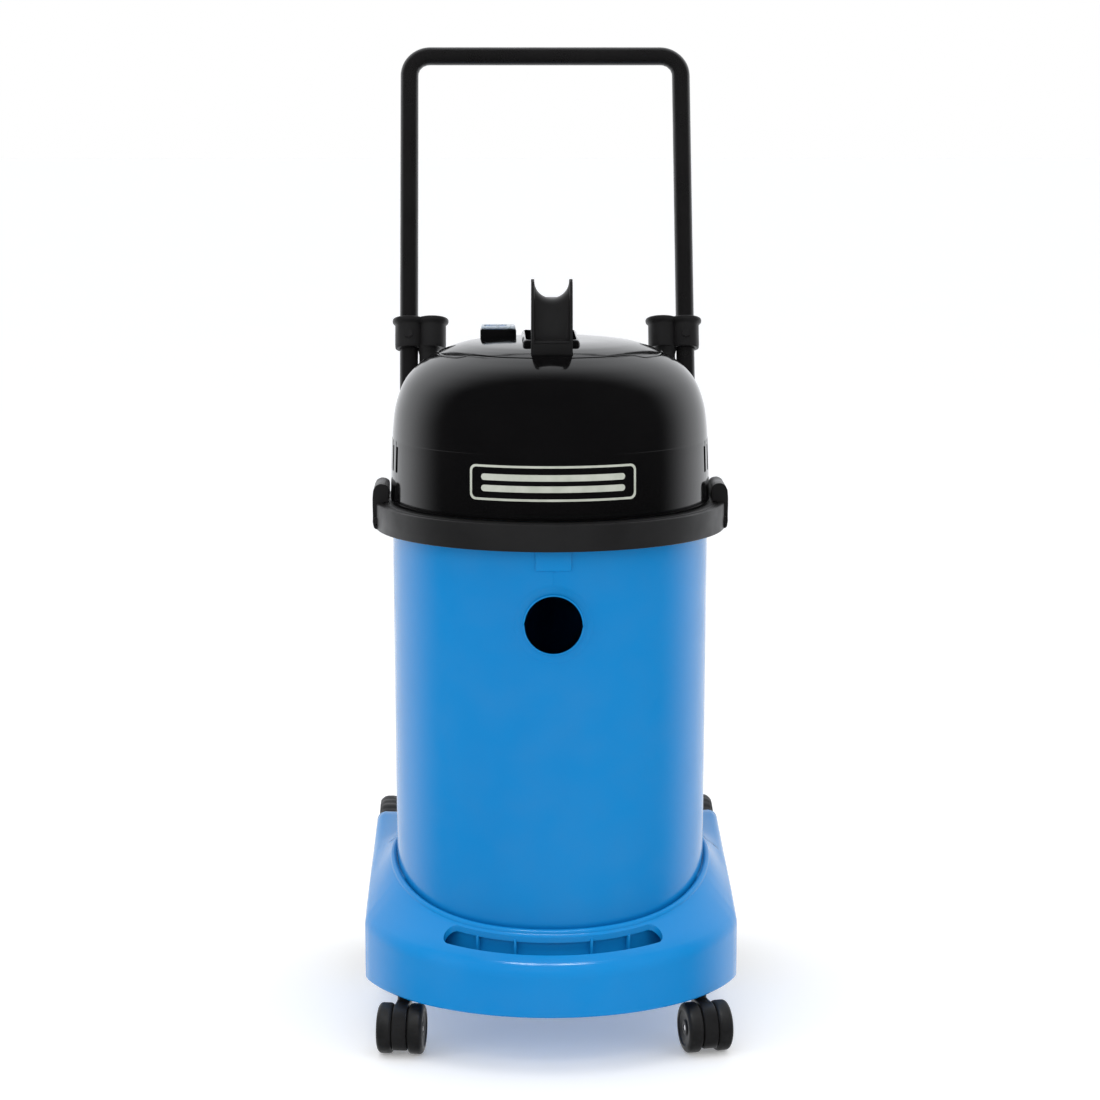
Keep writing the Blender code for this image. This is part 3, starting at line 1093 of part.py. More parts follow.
def build_tool_holder(machine, side, name):
    lip = HOLDER_LENGTH - LIP_HEIGHT
    outer = [(0, 0), (HOLDER_RADIUS, 0), (HOLDER_RADIUS, lip), (LIP_RADIUS, lip + 0.0008),
             (LIP_RADIUS, HOLDER_LENGTH), (0, HOLDER_LENGTH)]
    height_share = (HOLDER_HEIGHT - TUBE_KNEE) / math.cos(TUBE_LEAN) - HOLDER_LENGTH
    start = Vector((side * TUBE_HALF_SPAN, TUBE_Y, TUBE_KNEE)) + lean_axis() * height_share
    turn = (-TUBE_LEAN, 0, 0)
    holder = add_object("tool_holder_" + name, turned(outer, 16, closed=False), machine, "satin_black",
                        start, turn)
    cup_x = -side * CUP_OFFSET
    sleeve_x = -side * SLEEVE_OFFSET
    join(holder, "holder_cup_" + name, shifted(turned(outer, 16, closed=False), cup_x, 0, 0))
    sleeve = turned([(0, -SLEEVE_LENGTH), (SLEEVE_RADIUS, -SLEEVE_LENGTH), (SLEEVE_RADIUS, -0.006),
                     (HOLDER_RADIUS - 0.002, 0.002), (0, 0.002)], 12, closed=False)
    join(holder, "holder_sleeve_" + name, shifted(sleeve, sleeve_x, 0, 0))
    cut(holder, "holder_tube_bore_" + name,
        rod((0, 0, -PAST), (0, 0, HOLDER_LENGTH + PAST), TUBE_RADIUS + TOUCH_GAP * 2, 16))
    cut(holder, "holder_cup_bore_" + name,
        rod((cup_x, 0, 0.004), (cup_x, 0, HOLDER_LENGTH + PAST), CUP_BORE, 16))
    cut(holder, "holder_sleeve_bore_" + name,
        rod((sleeve_x, 0, -SLEEVE_LENGTH - PAST), (sleeve_x, 0, PAST), SLEEVE_BORE, 12))


# ---- wheels ---------------------------------------------------------------------------------

def build_rear_wheels(machine):
    centre_z = WHEEL_RADIUS
    reach = WHEEL_X + WHEEL_WIDTH / 2
    axle = rod((-reach - 0.004, WHEEL_Y, centre_z), (reach + 0.004, WHEEL_Y, centre_z), AXLE_RADIUS,
               SMALL)
    add_object("rear_axle", axle, machine, "bright_steel")
    half = WHEEL_WIDTH / 2
    rim_radius = WHEEL_RADIUS - TYRE_DEPTH
    for side, name in ((-1, "left"), (1, "right")):
        hub = empty("rear_wheel_hub_" + name, (side * WHEEL_X, WHEEL_Y, centre_z), machine)
        bore = AXLE_RADIUS + RUNNING_GAP / 2
        outer = rim_radius - TOUCH_GAP
        rim = [(bore, -half), (HUB_RADIUS, -half), (HUB_RADIUS, -half * 0.35),
               (outer - RIM_THICKNESS, -half * 0.35), (outer - RIM_THICKNESS, -half + 0.002),
               (outer, -half + 0.002), (outer, half - 0.002), (outer - RIM_THICKNESS, half - 0.002),
               (outer - RIM_THICKNESS, half * 0.25), (HUB_RADIUS, half * 0.25), (HUB_RADIUS, half), (bore, half)]
        add_object("rear_wheel_rim_" + name, along_x(turned(rim, WHEEL_SIDES)), hub, "grey_plastic")
        tyre = [(rim_radius, -half), (WHEEL_RADIUS - 0.004, -half), (WHEEL_RADIUS, -half + 0.005),
                (WHEEL_RADIUS, half - 0.005), (WHEEL_RADIUS - 0.004, half), (rim_radius, half)]
        add_object("rear_tyre_" + name, along_x(turned(tyre, WHEEL_SIDES)), hub, "black_rubber")
        start = reach + TOUCH_GAP
        bore = AXLE_RADIUS + TOUCH_GAP
        cap = [(0, reach + 0.0043), (bore, reach + 0.0043), (bore, start), (AXLE_CAP_RADIUS, start),
               (AXLE_CAP_RADIUS - 0.001, start + AXLE_CAP_DEPTH * 0.6),
               (AXLE_CAP_RADIUS * 0.6, start + AXLE_CAP_DEPTH), (0, start + AXLE_CAP_DEPTH)]
        shape = moved(turned(cap, 12, closed=False), Matrix.Rotation(math.radians(side * 90), 4, "Y"))
        add_object("axle_cap_" + name, shifted(shape, 0, WHEEL_Y, centre_z), machine, "satin_black")


def build_castors(machine):
    for side, name, yaw in ((-1, "left", CASTOR_YAW[0]), (1, "right", CASTOR_YAW[1])):
        swivel = empty("castor_swivel_" + name, (side * CASTOR_X, CASTOR_Y, 0), machine, (0, 0, yaw))
        half = CASTOR_HOOD_WIDTH / 2
        trail = -CASTOR_TRAIL
        neck_top = BASE_BOTTOM - RUNNING_GAP
        hood = rod((-half, trail, CASTOR_RADIUS), (half, trail, CASTOR_RADIUS), CASTOR_RADIUS - 0.006,
                   MEDIUM)
        fork = add_object("castor_fork_" + name, hood, swivel, "satin_black")
        neck = rod((0, 0, CASTOR_RADIUS + 0.010), (0, 0, neck_top), half - TOUCH_GAP, 16)
        join(fork, "fork_neck_" + name, neck)
        bridge = block((-half, trail - 0.004, CASTOR_RADIUS + 0.008),
                       (half, 0.006, CASTOR_RADIUS * 2 - 0.001))
        join(fork, "fork_bridge_" + name, bridge)
        stem_low = CASTOR_RADIUS * 2 - 0.008
        cut(fork, "fork_stem_bore_" + name,
            rod((0, 0, stem_low - TOUCH_GAP), (0, 0, neck_top + PAST), STEM_RADIUS + TOUCH_GAP))
        cut(fork, "fork_axle_bore_" + name,
            rod((-0.030, trail, CASTOR_RADIUS), (0.030, trail, CASTOR_RADIUS),
                CASTOR_AXLE_RADIUS + TOUCH_GAP, 12))
        stem = rod((0, 0, stem_low), (0, 0, STEM_TOP), STEM_RADIUS - 0.0004)
        add_object("castor_stem_" + name, stem, swivel, "bright_steel")
        inner = half + 0.0006
        outer = inner + CASTOR_WHEEL_WIDTH
        axle = rod((-outer + 0.0015, trail, CASTOR_RADIUS), (outer - 0.0015, trail, CASTOR_RADIUS),
                   CASTOR_AXLE_RADIUS, 12)
        add_object("castor_axle_" + name, axle, swivel, "bright_steel")
        bore = CASTOR_AXLE_RADIUS + RUNNING_GAP / 2
        wide = CASTOR_RADIUS
        for hand, place in ((-1, "outer" if side < 0 else "inner"),
                            (1, "inner" if side < 0 else "outer")):
            wheel = [(bore, inner), (wide - 0.006, inner), (wide, inner + 0.004), (wide, outer - 0.0035),
                     (wide - 0.0035, outer), (bore, outer)]
            shape = moved(turned(wheel, MEDIUM), Matrix.Rotation(math.radians(hand * 90), 4, "Y"))
            add_object("castor_wheel_%s_%s" % (name, place), shape, swivel, "black_rubber",
                       (0, trail, CASTOR_RADIUS))


def build_machine():
    clear_scene()
    machine = empty("machine", (0, DRUM_AXIS_Y, 0))
    build_chassis(machine)
    build_drum(machine)
    build_inlet(machine)
    build_clips(machine)
    build_push_handle(machine)
    build_rear_wheels(machine)
    build_castors(machine)
    head = empty("head", (0, 0, 0), machine)
    rotor = empty("rotor", (0, 0, 0), head)
    float_holder = empty("float_holder", (0, 0, 0), head)
    build_casings(head)
    build_carry_handle(head)
    build_switch(head)
    build_gland(head)
    build_motor(head, rotor)
    build_float(head, float_holder)


build_machine()
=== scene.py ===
import json
import math

import bmesh
import bpy
from mathutils import Matrix, Vector


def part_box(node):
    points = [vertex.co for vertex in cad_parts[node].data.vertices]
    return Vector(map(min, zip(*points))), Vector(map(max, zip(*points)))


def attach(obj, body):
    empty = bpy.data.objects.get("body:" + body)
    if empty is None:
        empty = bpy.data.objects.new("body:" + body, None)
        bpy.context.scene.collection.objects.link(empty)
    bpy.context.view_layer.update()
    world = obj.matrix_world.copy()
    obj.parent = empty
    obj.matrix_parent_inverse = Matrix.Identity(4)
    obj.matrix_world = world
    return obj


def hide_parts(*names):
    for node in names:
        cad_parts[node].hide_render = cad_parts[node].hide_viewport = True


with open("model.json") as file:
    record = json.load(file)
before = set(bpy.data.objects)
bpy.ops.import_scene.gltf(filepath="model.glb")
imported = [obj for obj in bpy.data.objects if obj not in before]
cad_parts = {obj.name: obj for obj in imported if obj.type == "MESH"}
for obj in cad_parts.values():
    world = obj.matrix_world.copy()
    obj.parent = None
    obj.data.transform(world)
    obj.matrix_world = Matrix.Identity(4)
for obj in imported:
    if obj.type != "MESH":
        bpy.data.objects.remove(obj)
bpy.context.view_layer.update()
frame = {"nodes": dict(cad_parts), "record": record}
nodes = frame["nodes"]
print("frame loaded:", len(nodes), "nodes")

# places that everything below is built from, read off the frame
bandLow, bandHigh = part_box("drum_band")
drumLow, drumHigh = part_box("drum")
skirtLow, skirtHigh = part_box("head_skirt")
domeLow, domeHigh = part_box("head_dome")
capLow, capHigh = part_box("head_cap")
hornLow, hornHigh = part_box("carry_handle")
tubeLow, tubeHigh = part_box("handle_frame")
baseLow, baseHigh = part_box("chassis")
axisY = (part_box("motor_plate")[0].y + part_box("motor_plate")[1].y) / 2   # the drum's upright axis, at x = 0
floorZ = 0.0


shot = dict(distance=3.0, height=0.963, pitch=9.07, swing=-1.2, lens=98.6)

lensData = bpy.data.cameras.new("camera")
lensData.lens = shot["lens"]
lensData.sensor_width = 36.0
cameraObject = bpy.data.objects.new("camera", lensData)
swing = math.radians(shot["swing"])
cameraObject.location = (shot["distance"] * math.sin(swing), axisY - shot["distance"] * math.cos(swing), shot["height"])
cameraObject.rotation_euler = (math.radians(90 - shot["pitch"]), 0, swing)
bpy.context.scene.collection.objects.link(cameraObject)
bpy.context.scene.camera = cameraObject
bpy.context.scene.view_settings.view_transform = "Standard"


studio = dict(ambient=0.86, mirrorFront=0.05, mirrorRound=1.15, sky=(0.96, 0.975, 1.0), floorColour=(0.95, 0.95, 0.95))

world = bpy.data.worlds.new("studio")
bpy.context.scene.world = world
world.use_nodes = True
tree = world.node_tree
tree.nodes.clear()
place = tree.nodes.new("ShaderNodeTexCoord")
split = tree.nodes.new("ShaderNodeSeparateXYZ")
fade = tree.nodes.new("ShaderNodeMapRange")
fade.interpolation_type = "SMOOTHSTEP"
fade.inputs["From Min"].default_value = -0.10       # what shines sees a dark room in front and a pale one round the sides
fade.inputs["From Max"].default_value = 0.62
fade.inputs["To Min"].default_value = studio["mirrorFront"]
fade.inputs["To Max"].default_value = studio["mirrorRound"]
seen, mirrored, soft = [tree.nodes.new("ShaderNodeBackground") for k in range(3)]
seen.inputs["Color"].default_value = (1, 1, 1, 1)
mirrored.inputs["Color"].default_value = (*studio["sky"], 1)
soft.inputs["Color"].default_value = (*studio["sky"], 1)
soft.inputs["Strength"].default_value = studio["ambient"]
ray = tree.nodes.new("ShaderNodeLightPath")
shineMix, seenMix = [tree.nodes.new("ShaderNodeMixShader") for k in range(2)]
out = tree.nodes.new("ShaderNodeOutputWorld")
tree.links.new(place.outputs["Generated"], split.inputs[0])
tree.links.new(split.outputs["Y"], fade.inputs["Value"])
tree.links.new(fade.outputs["Result"], mirrored.inputs["Strength"])
tree.links.new(ray.outputs["Is Glossy Ray"], shineMix.inputs[0])
tree.links.new(soft.outputs[0], shineMix.inputs[1])
tree.links.new(mirrored.outputs[0], shineMix.inputs[2])
tree.links.new(ray.outputs["Is Camera Ray"], seenMix.inputs[0])
tree.links.new(shineMix.outputs[0], seenMix.inputs[1])
tree.links.new(seen.outputs[0], seenMix.inputs[2])
tree.links.new(seenMix.outputs[0], out.inputs[0])


def softbox(name, at, aim, size, power, shine=False):
    data = bpy.data.lights.new(name, "AREA")
    data.shape = "RECTANGLE"
    data.size, data.size_y = size
    data.energy = power
    box = bpy.data.objects.new(name, data)
    box.location = at
    box.rotation_euler = (Vector(aim) - Vector(at)).to_track_quat("-Z", "Y").to_euler()
    box.visible_glossy = shine
    bpy.context.scene.collection.objects.link(box)
    return box


softbox("topSoftbox", (0.0, -0.3, 2.6), (0, axisY, 0.5), (2.4, 1.6), 12)
softbox("leftSoftbox", (-2.2, -1.5, 1.2), (0, axisY, 0.5), (1.2, 2.0), 9)
softbox("rightSoftbox", (2.2, -1.5, 1.2), (0, axisY, 0.5), (1.2, 2.0), 5)
softbox("frontFill", (-0.5, -3.6, 2.3), (0, axisY, 0.4), (2.4, 1.2), 16)

bm = bmesh.new()
bmesh.ops.create_grid(bm, x_segments=2, y_segments=2, size=30)
floorMesh = bpy.data.meshes.new("floor")
bm.to_mesh(floorMesh)
bm.free()
floorPiece = bpy.data.objects.new("floor", floorMesh)
bpy.context.scene.collection.objects.link(floorPiece)
floorPiece.location.z = floorZ - 0.0005
floorPiece.visible_glossy = False
shinyOnes = bpy.data.collections.new("shinyOnes")      # the narrow strips below shine on these pieces only
strips = [softbox("strip" + str(k), (x, -0.95, 1.75), (x * 0.4, axisY - 0.19, 0.11), (wide, 0.10), 5, True)
          for k, (x, wide) in enumerate(((-0.34, 0.42), (0.24, 0.50)))]
for strip in strips:
    strip.light_linking.receiver_collection = shinyOnes
print("camera, lights and floor placed")


def newMaterial(name, colour, roughness, metallic=0.0):
    material = bpy.data.materials.new(name)
    material.use_nodes = True
    shader = material.node_tree.nodes["Principled BSDF"]
    shader.inputs["Base Color"].default_value = (*colour, 1)
    shader.inputs["Roughness"].default_value = roughness
    shader.inputs["Metallic"].default_value = metallic
    return material, shader


def objectNoise(material, scale, detail=3.0, stretch=(1, 1, 1), rough=0.5):
    # noise on the piece's own coordinates, stretched along the axes given
    tree = material.node_tree
    where = tree.nodes.new("ShaderNodeTexCoord")
    turn = tree.nodes.new("ShaderNodeMapping")
    turn.inputs["Scale"].default_value = stretch
    noise = tree.nodes.new("ShaderNodeTexNoise")
    noise.inputs["Scale"].default_value = scale
    noise.inputs["Detail"].default_value = detail
    noise.inputs["Roughness"].default_value = rough
    tree.links.new(where.outputs["Object"], turn.inputs["Vector"])
    tree.links.new(turn.outputs["Vector"], noise.inputs["Vector"])
    return noise.outputs["Fac"]


def objectCells(material, scale, feature="F1"):
    tree = material.node_tree
    where = tree.nodes.new("ShaderNodeTexCoord")
    cells = tree.nodes.new("ShaderNodeTexVoronoi")
    cells.feature = feature
    cells.inputs["Scale"].default_value = scale
    tree.links.new(where.outputs["Object"], cells.inputs["Vector"])
    return cells.outputs["Distance"]


def spreadColour(material, shader, source, low, high, start=0.35, end=0.65):
    ramp = material.node_tree.nodes.new("ShaderNodeValToRGB")
    ramp.color_ramp.elements[0].position = start
    ramp.color_ramp.elements[0].color = (*low, 1)
    ramp.color_ramp.elements[1].position = end
    ramp.color_ramp.elements[1].color = (*high, 1)
    material.node_tree.links.new(source, ramp.inputs["Fac"])
    material.node_tree.links.new(ramp.outputs["Color"], shader.inputs["Base Color"])


def spreadRoughness(material, shader, source, low, high, start=0.3, end=0.7):
    span = material.node_tree.nodes.new("ShaderNodeMapRange")
    span.inputs["From Min"].default_value = start
    span.inputs["From Max"].default_value = end
    span.inputs["To Min"].default_value = low
    span.inputs["To Max"].default_value = high
    material.node_tree.links.new(source, span.inputs["Value"])
    material.node_tree.links.new(span.outputs["Result"], shader.inputs["Roughness"])


def addRelief(material, shader, *layers):
    # each layer is (height source, strength, distance in metres), finest last
    before = None
    for source, strength, distance in layers:
        bump = material.node_tree.nodes.new("ShaderNodeBump")
        bump.inputs["Strength"].default_value = strength
        bump.inputs["Distance"].default_value = distance
        material.node_tree.links.new(source, bump.inputs["Height"])
        if before:
            material.node_tree.links.new(before.outputs["Normal"], bump.inputs["Normal"])
        before = bump
    material.node_tree.links.new(before.outputs["Normal"], shader.inputs["Normal"])


finishes = dict(
    blue=(0.0050, 0.219, 0.550), blueDeep=(0.0042, 0.200, 0.515),
    gloss=(0.0030, 0.0028, 0.0030), glossDeep=(0.0020, 0.0019, 0.0021),
    satin=(0.0120, 0.0117, 0.0120), satinPale=(0.0160, 0.0156, 0.0160),
    tube=(0.0065, 0.0060, 0.0062), tubePale=(0.0080, 0.0075, 0.0077),
    rubber=(0.0080, 0.0080, 0.0082), rubberPale=(0.0140, 0.0140, 0.0142),
    grey=(0.055, 0.057, 0.060), greyPale=(0.070, 0.072, 0.076),
)

# gloss blue polypropylene: faint upright flow streaks and a slight ripple from the mould
blueMoulding, shader = newMaterial("blueMoulding", finishes["blue"], 0.16)
shader.inputs["Specular IOR Level"].default_value = 0.5
spreadColour(blueMoulding, shader, objectNoise(blueMoulding, 5.0, 4.0, (1, 1, 0.25)), finishes["blueDeep"], finishes["blue"])
spreadRoughness(blueMoulding, shader, objectNoise(blueMoulding, 26.0, 5.0), 0.13, 0.24)
addRelief(blueMoulding, shader, (objectNoise(blueMoulding, 11.0, 1.0, (1, 1, 0.35)), 0.20, 0.0012),
          (objectNoise(blueMoulding, 420.0, 2.0), 0.06, 0.0002))

# high gloss black: nearly a mirror, with a long soft ripple and a little dust
headMoulding, shader = newMaterial("headMoulding", finishes["gloss"], 0.08)
spreadColour(headMoulding, shader, objectNoise(headMoulding, 14.0, 3.0), finishes["glossDeep"], finishes["gloss"])
spreadRoughness(headMoulding, shader, objectNoise(headMoulding, 60.0, 6.0, (1, 1, 1), 0.7), 0.06, 0.15)
addRelief(headMoulding, shader, (objectNoise(headMoulding, 9.0, 1.0), 0.16, 0.0010),
          (objectNoise(headMoulding, 500.0, 2.0), 0.04, 0.0002))

# satin black: the fine even grain of an etched mould, paler where hands rub it
blackMoulding, shader = newMaterial("blackMoulding", finishes["satin"], 0.42)
spreadColour(blackMoulding, shader, objectNoise(blackMoulding, 22.0, 4.0), finishes["satin"], finishes["satinPale"])
spreadRoughness(blackMoulding, shader, objectNoise(blackMoulding, 35.0, 4.0), 0.34, 0.50)
addRelief(blackMoulding, shader, (objectNoise(blackMoulding, 30.0, 2.0), 0.08, 0.0005),
          (objectCells(blackMoulding, 1400.0), 0.22, 0.0002))

# powder coated steel tube: orange peel under a soft sheen
coatedTube, shader = newMaterial("coatedTube", finishes["tube"], 0.30)
spreadColour(coatedTube, shader, objectNoise(coatedTube, 18.0, 3.0), finishes["tube"], finishes["tubePale"])
spreadRoughness(coatedTube, shader, objectNoise(coatedTube, 45.0, 4.0), 0.24, 0.38)
addRelief(coatedTube, shader, (objectNoise(coatedTube, 1300.0, 2.0), 0.14, 0.0002))

# rubber of the seals, gaskets and cable gland: dull, with a bloom of paler powder
softRubber, shader = newMaterial("softRubber", finishes["rubber"], 0.72)
spreadColour(softRubber, shader, objectNoise(softRubber, 55.0, 5.0), finishes["rubber"], finishes["rubberPale"])
spreadRoughness(softRubber, shader, objectNoise(softRubber, 90.0, 3.0), 0.62, 0.82)
addRelief(softRubber, shader, (objectNoise(softRubber, 700.0, 3.0), 0.25, 0.0003))

# tyre rubber: scuffed where it rolls
tyreRubber, shader = newMaterial("tyreRubber", finishes["rubber"], 0.60)
spreadColour(tyreRubber, shader, objectNoise(tyreRubber, 70.0, 6.0, (1, 1, 1), 0.7), finishes["rubber"], finishes["rubberPale"])
spreadRoughness(tyreRubber, shader, objectNoise(tyreRubber, 60.0, 4.0), 0.46, 0.70)
addRelief(tyreRubber, shader, (objectNoise(tyreRubber, 160.0, 4.0), 0.14, 0.0004),
          (objectCells(tyreRubber, 1100.0), 0.16, 0.0002))

# dark grey engineering plastic, with glass fibre flow marks
greyMoulding, shader = newMaterial("greyMoulding", finishes["grey"], 0.45)
spreadColour(greyMoulding, shader, objectNoise(greyMoulding, 16.0, 4.0, (1, 1, 2.5)), finishes["grey"], finishes["greyPale"])
spreadRoughness(greyMoulding, shader, objectNoise(greyMoulding, 40.0, 4.0), 0.38, 0.55)
addRelief(greyMoulding, shader, (objectNoise(greyMoulding, 900.0, 2.0, (1, 1, 0.3)), 0.18, 0.0002))

# zinc plated and turned steel: fine drawn lines
brightSteel, shader = newMaterial("brightSteel", (0.60, 0.60, 0.61), 0.28, 1.0)
spreadColour(brightSteel, shader, objectNoise(brightSteel, 30.0, 4.0), (0.52, 0.52, 0.54), (0.66, 0.66, 0.66))
spreadRoughness(brightSteel, shader, objectNoise(brightSteel, 500.0, 3.0, (0.08, 1, 1)), 0.20, 0.38)
addRelief(brightSteel, shader, (objectNoise(brightSteel, 900.0, 2.0, (0.05, 1, 1)), 0.10, 0.0001))

# copper windings: wound turns show as bands, with painted shade in the grooves between turns and painted light on their
# crowns, from the same bands that shape the relief
copperWinding, shader = newMaterial("copperWinding", (0.60, 0.24, 0.11), 0.35, 1.0)
where = copperWinding.node_tree.nodes.new("ShaderNodeTexCoord")
bands = copperWinding.node_tree.nodes.new("ShaderNodeTexWave")
bands.bands_direction = "Z"
bands.inputs["Scale"].default_value = 210.0
bands.inputs["Distortion"].default_value = 0.6
copperWinding.node_tree.links.new(where.outputs["Object"], bands.inputs["Vector"])
spreadColour(copperWinding, shader, bands.outputs["Fac"], (0.38, 0.13, 0.05), (0.68, 0.29, 0.13), 0.1, 0.9)
spreadRoughness(copperWinding, shader, objectNoise(copperWinding, 120.0), 0.28, 0.45)
addRelief(copperWinding, shader, (bands.outputs["Fac"], 0.5, 0.0004))

# carbon brush: sooty and fine grained
carbonBlock, shader = newMaterial("carbonBlock", (0.03, 0.03, 0.03), 0.6)
spreadColour(carbonBlock, shader, objectNoise(carbonBlock, 300.0, 5.0), (0.018, 0.018, 0.019), (0.045, 0.045, 0.046))
spreadRoughness(carbonBlock, shader, objectNoise(carbonBlock, 200.0), 0.45, 0.72)
addRelief(carbonBlock, shader, (objectNoise(carbonBlock, 1200.0, 3.0), 0.20, 0.0002))

# open cell foam of the exhaust filter, with painted shade in the pores: the cells that dent the surface also darken its
# hollows
filterFoam, shader = newMaterial("filterFoam", (0.05, 0.05, 0.055), 0.95)
cells = objectCells(filterFoam, 620.0)
spreadColour(filterFoam, shader, cells, (0.012, 0.012, 0.013), (0.075, 0.075, 0.080), 0.05, 0.55)
spreadRoughness(filterFoam, shader, objectNoise(filterFoam, 60.0), 0.85, 1.0)
addRelief(filterFoam, shader, (cells, 0.9, 0.0012))

# pale translucent boot over the switch, a little dusty
clearSilicone, shader = newMaterial("clearSilicone", (0.72, 0.80, 0.86), 0.30)
shader.inputs["Transmission Weight"].default_value = 0.35
shader.inputs["IOR"].default_value = 1.42
spreadColour(clearSilicone, shader, objectNoise(clearSilicone, 160.0, 4.0), (0.60, 0.70, 0.80), (0.80, 0.86, 0.90))
spreadRoughness(clearSilicone, shader, objectNoise(clearSilicone, 220.0), 0.22, 0.42)
addRelief(clearSilicone, shader, (objectNoise(clearSilicone, 900.0), 0.10, 0.0002))

# blue rocker under the boot
rockerBlue, shader = newMaterial("rockerBlue", (0.010, 0.150, 0.420), 0.30)
spreadColour(rockerBlue, shader, objectNoise(rockerBlue, 120.0, 4.0), (0.008, 0.125, 0.370), (0.012, 0.165, 0.450))
spreadRoughness(rockerBlue, shader, objectNoise(rockerBlue, 260.0), 0.22, 0.40)
addRelief(rockerBlue, shader, (objectNoise(rockerBlue, 1000.0), 0.10, 0.0002))

# white float, matt and faintly marked
floatWhite, shader = newMaterial("floatWhite", (0.78, 0.78, 0.76), 0.45)
spreadColour(floatWhite, shader, objectNoise(floatWhite, 26.0, 5.0), (0.70, 0.70, 0.67), (0.80, 0.80, 0.78))
spreadRoughness(floatWhite, shader, objectNoise(floatWhite, 70.0), 0.36, 0.55)
addRelief(floatWhite, shader, (objectNoise(floatWhite, 500.0), 0.10, 0.0002))

# pale print on the badge
badgePrint, shader = newMaterial("badgePrint", (0.45, 0.47, 0.40), 0.38)
spreadColour(badgePrint, shader, objectNoise(badgePrint, 90.0, 5.0), (0.42, 0.445, 0.375), (0.49, 0.51, 0.44))
spreadRoughness(badgePrint, shader, objectNoise(badgePrint, 160.0), 0.30, 0.48)
addRelief(badgePrint, shader, (objectNoise(badgePrint, 1500.0), 0.12, 0.0001))

# pale studio floor
floorFinish, shader = newMaterial("floorFinish", studio["floorColour"], 0.75)
spreadColour(floorFinish, shader, objectNoise(floorFinish, 3.0, 2.0), (0.945, 0.945, 0.945), (0.955, 0.955, 0.955))
shader.inputs["Emission Color"].default_value = (1, 1, 1, 1)
shader.inputs["Emission Strength"].default_value = 0.22       # keeps it as pale as the wall behind
floorPiece.data.materials.append(floorFinish)

slotFinish = dict(
    blue_moulding=blueMoulding, head_moulding=headMoulding, black_moulding=blackMoulding, coated_tube=coatedTube,
    rubber=softRubber, tyre=tyreRubber, grey_moulding=greyMoulding, steel=brightSteel, copper=copperWinding,
    carbon=carbonBlock, foam=filterFoam, clear_silicone=clearSilicone, switch_blue=rockerBlue, float_white=floatWhite,
)
for part in frame["record"]["subparts"]:
    cadNode = nodes[part["node"]]
    if not cadNode.material_slots:
        cadNode.data.materials.append(None)
    for holder in cadNode.material_slots:
        holder.material = slotFinish[part["material_slot"]]
print("materials made:", len(bpy.data.materials))


def eased(points, size, closed=False, steps=3):
    # round every real corner of an outline, without moving its straight runs
    result = []
    count = len(points)
    for i, point in enumerate(points):
        if not closed and i in (0, count - 1):
            result.append(tuple(point))
            continue
        corner = Vector(point)
        back = Vector(points[i - 1]) - corner
        ahead = Vector(points[(i + 1) % count]) - corner
        if back.angle(ahead, math.pi) > math.radians(165):
            result.append(tuple(point))
            continue
        cut = min(size, back.length * 0.45, ahead.length * 0.45)
        start, end = corner + back.normalized() * cut, corner + ahead.normalized() * cut
        for k in range(steps + 1):
            t = k / steps
            result.append(tuple(start * (1 - t) ** 2 + corner * 2 * t * (1 - t) + end * t * t))
    return result


def flowing(points, steps=6):
    # a smooth line through all the points
    line = [Vector(points[0]) * 2 - Vector(points[1])] + [Vector(p) for p in points]
    line.append(line[-1] * 2 - line[-2])
    result = []
    for a, b, c, d in zip(line, line[1:], line[2:], line[3:]):
        for k in range(steps):
            t = k / steps
            result.append(tuple(0.5 * (2 * b + (c - a) * t + (2 * a - 5 * b + 4 * c - d) * t * t
                                       + (3 * b - a - 3 * c + d) * t ** 3)))
    return result + [tuple(line[-2])]


def spun(profile, sides=96, closed=False):
    bm = bmesh.new()
    verts = [bm.verts.new((r, 0, z)) for r, z in profile]
    edges = [bm.edges.new(pair) for pair in zip(verts, verts[1:])]
    if closed:
        edges.append(bm.edges.new((verts[-1], verts[0])))
    bmesh.ops.spin(bm, geom=verts + edges, cent=(0, 0, 0), axis=(0, 0, 1), angle=2 * math.pi, steps=sides, use_merge=True)
    bmesh.ops.remove_doubles(bm, verts=bm.verts, dist=1e-6)
    bmesh.ops.recalc_face_normals(bm, faces=bm.faces)
    return bm


def skinned(rings, capped=True):
    # bridge closed rings of points, one after the other
    bm = bmesh.new()
    loops = []
    for ring in rings:
        verts = [bm.verts.new(point) for point in ring]
        loops.append([bm.edges.new(pair) for pair in zip(verts, verts[1:] + verts[:1])])
    for low, high in zip(loops, loops[1:]):
        bmesh.ops.bridge_loops(bm, edges=low + high)
    if capped:
        bmesh.ops.edgeloop_fill(bm, edges=loops[0])
        bmesh.ops.edgeloop_fill(bm, edges=loops[-1])
    bmesh.ops.recalc_face_normals(bm, faces=bm.faces)
    return bm


def slab(outline, depth):
    # a flat outline raised along +Z
    bm = bmesh.new()
    face = bm.faces.new([bm.verts.new((x, y, 0)) for x, y in outline])
    raised = bmesh.ops.extrude_face_region(bm, geom=[face])
    top = [item for item in raised["geom"] if isinstance(item, bmesh.types.BMVert)]
    bmesh.ops.translate(bm, verts=top, vec=(0, 0, depth))
    bmesh.ops.recalc_face_normals(bm, faces=bm.faces)
    return bm


def brick(low, high, round=0.0, segments=3):
    bm = bmesh.new()
    bmesh.ops.create_cube(bm, size=1)
    low, high = Vector(low), Vector(high)
    bmesh.ops.scale(bm, verts=bm.verts, vec=high - low)
    bmesh.ops.translate(bm, verts=bm.verts, vec=(low + high) / 2)
    if round:
        bmesh.ops.bevel(bm, geom=bm.edges[:], offset=round, affect="EDGES", segments=segments, profile=0.5,
                        material=-1, clamp_overlap=True)
    return bm


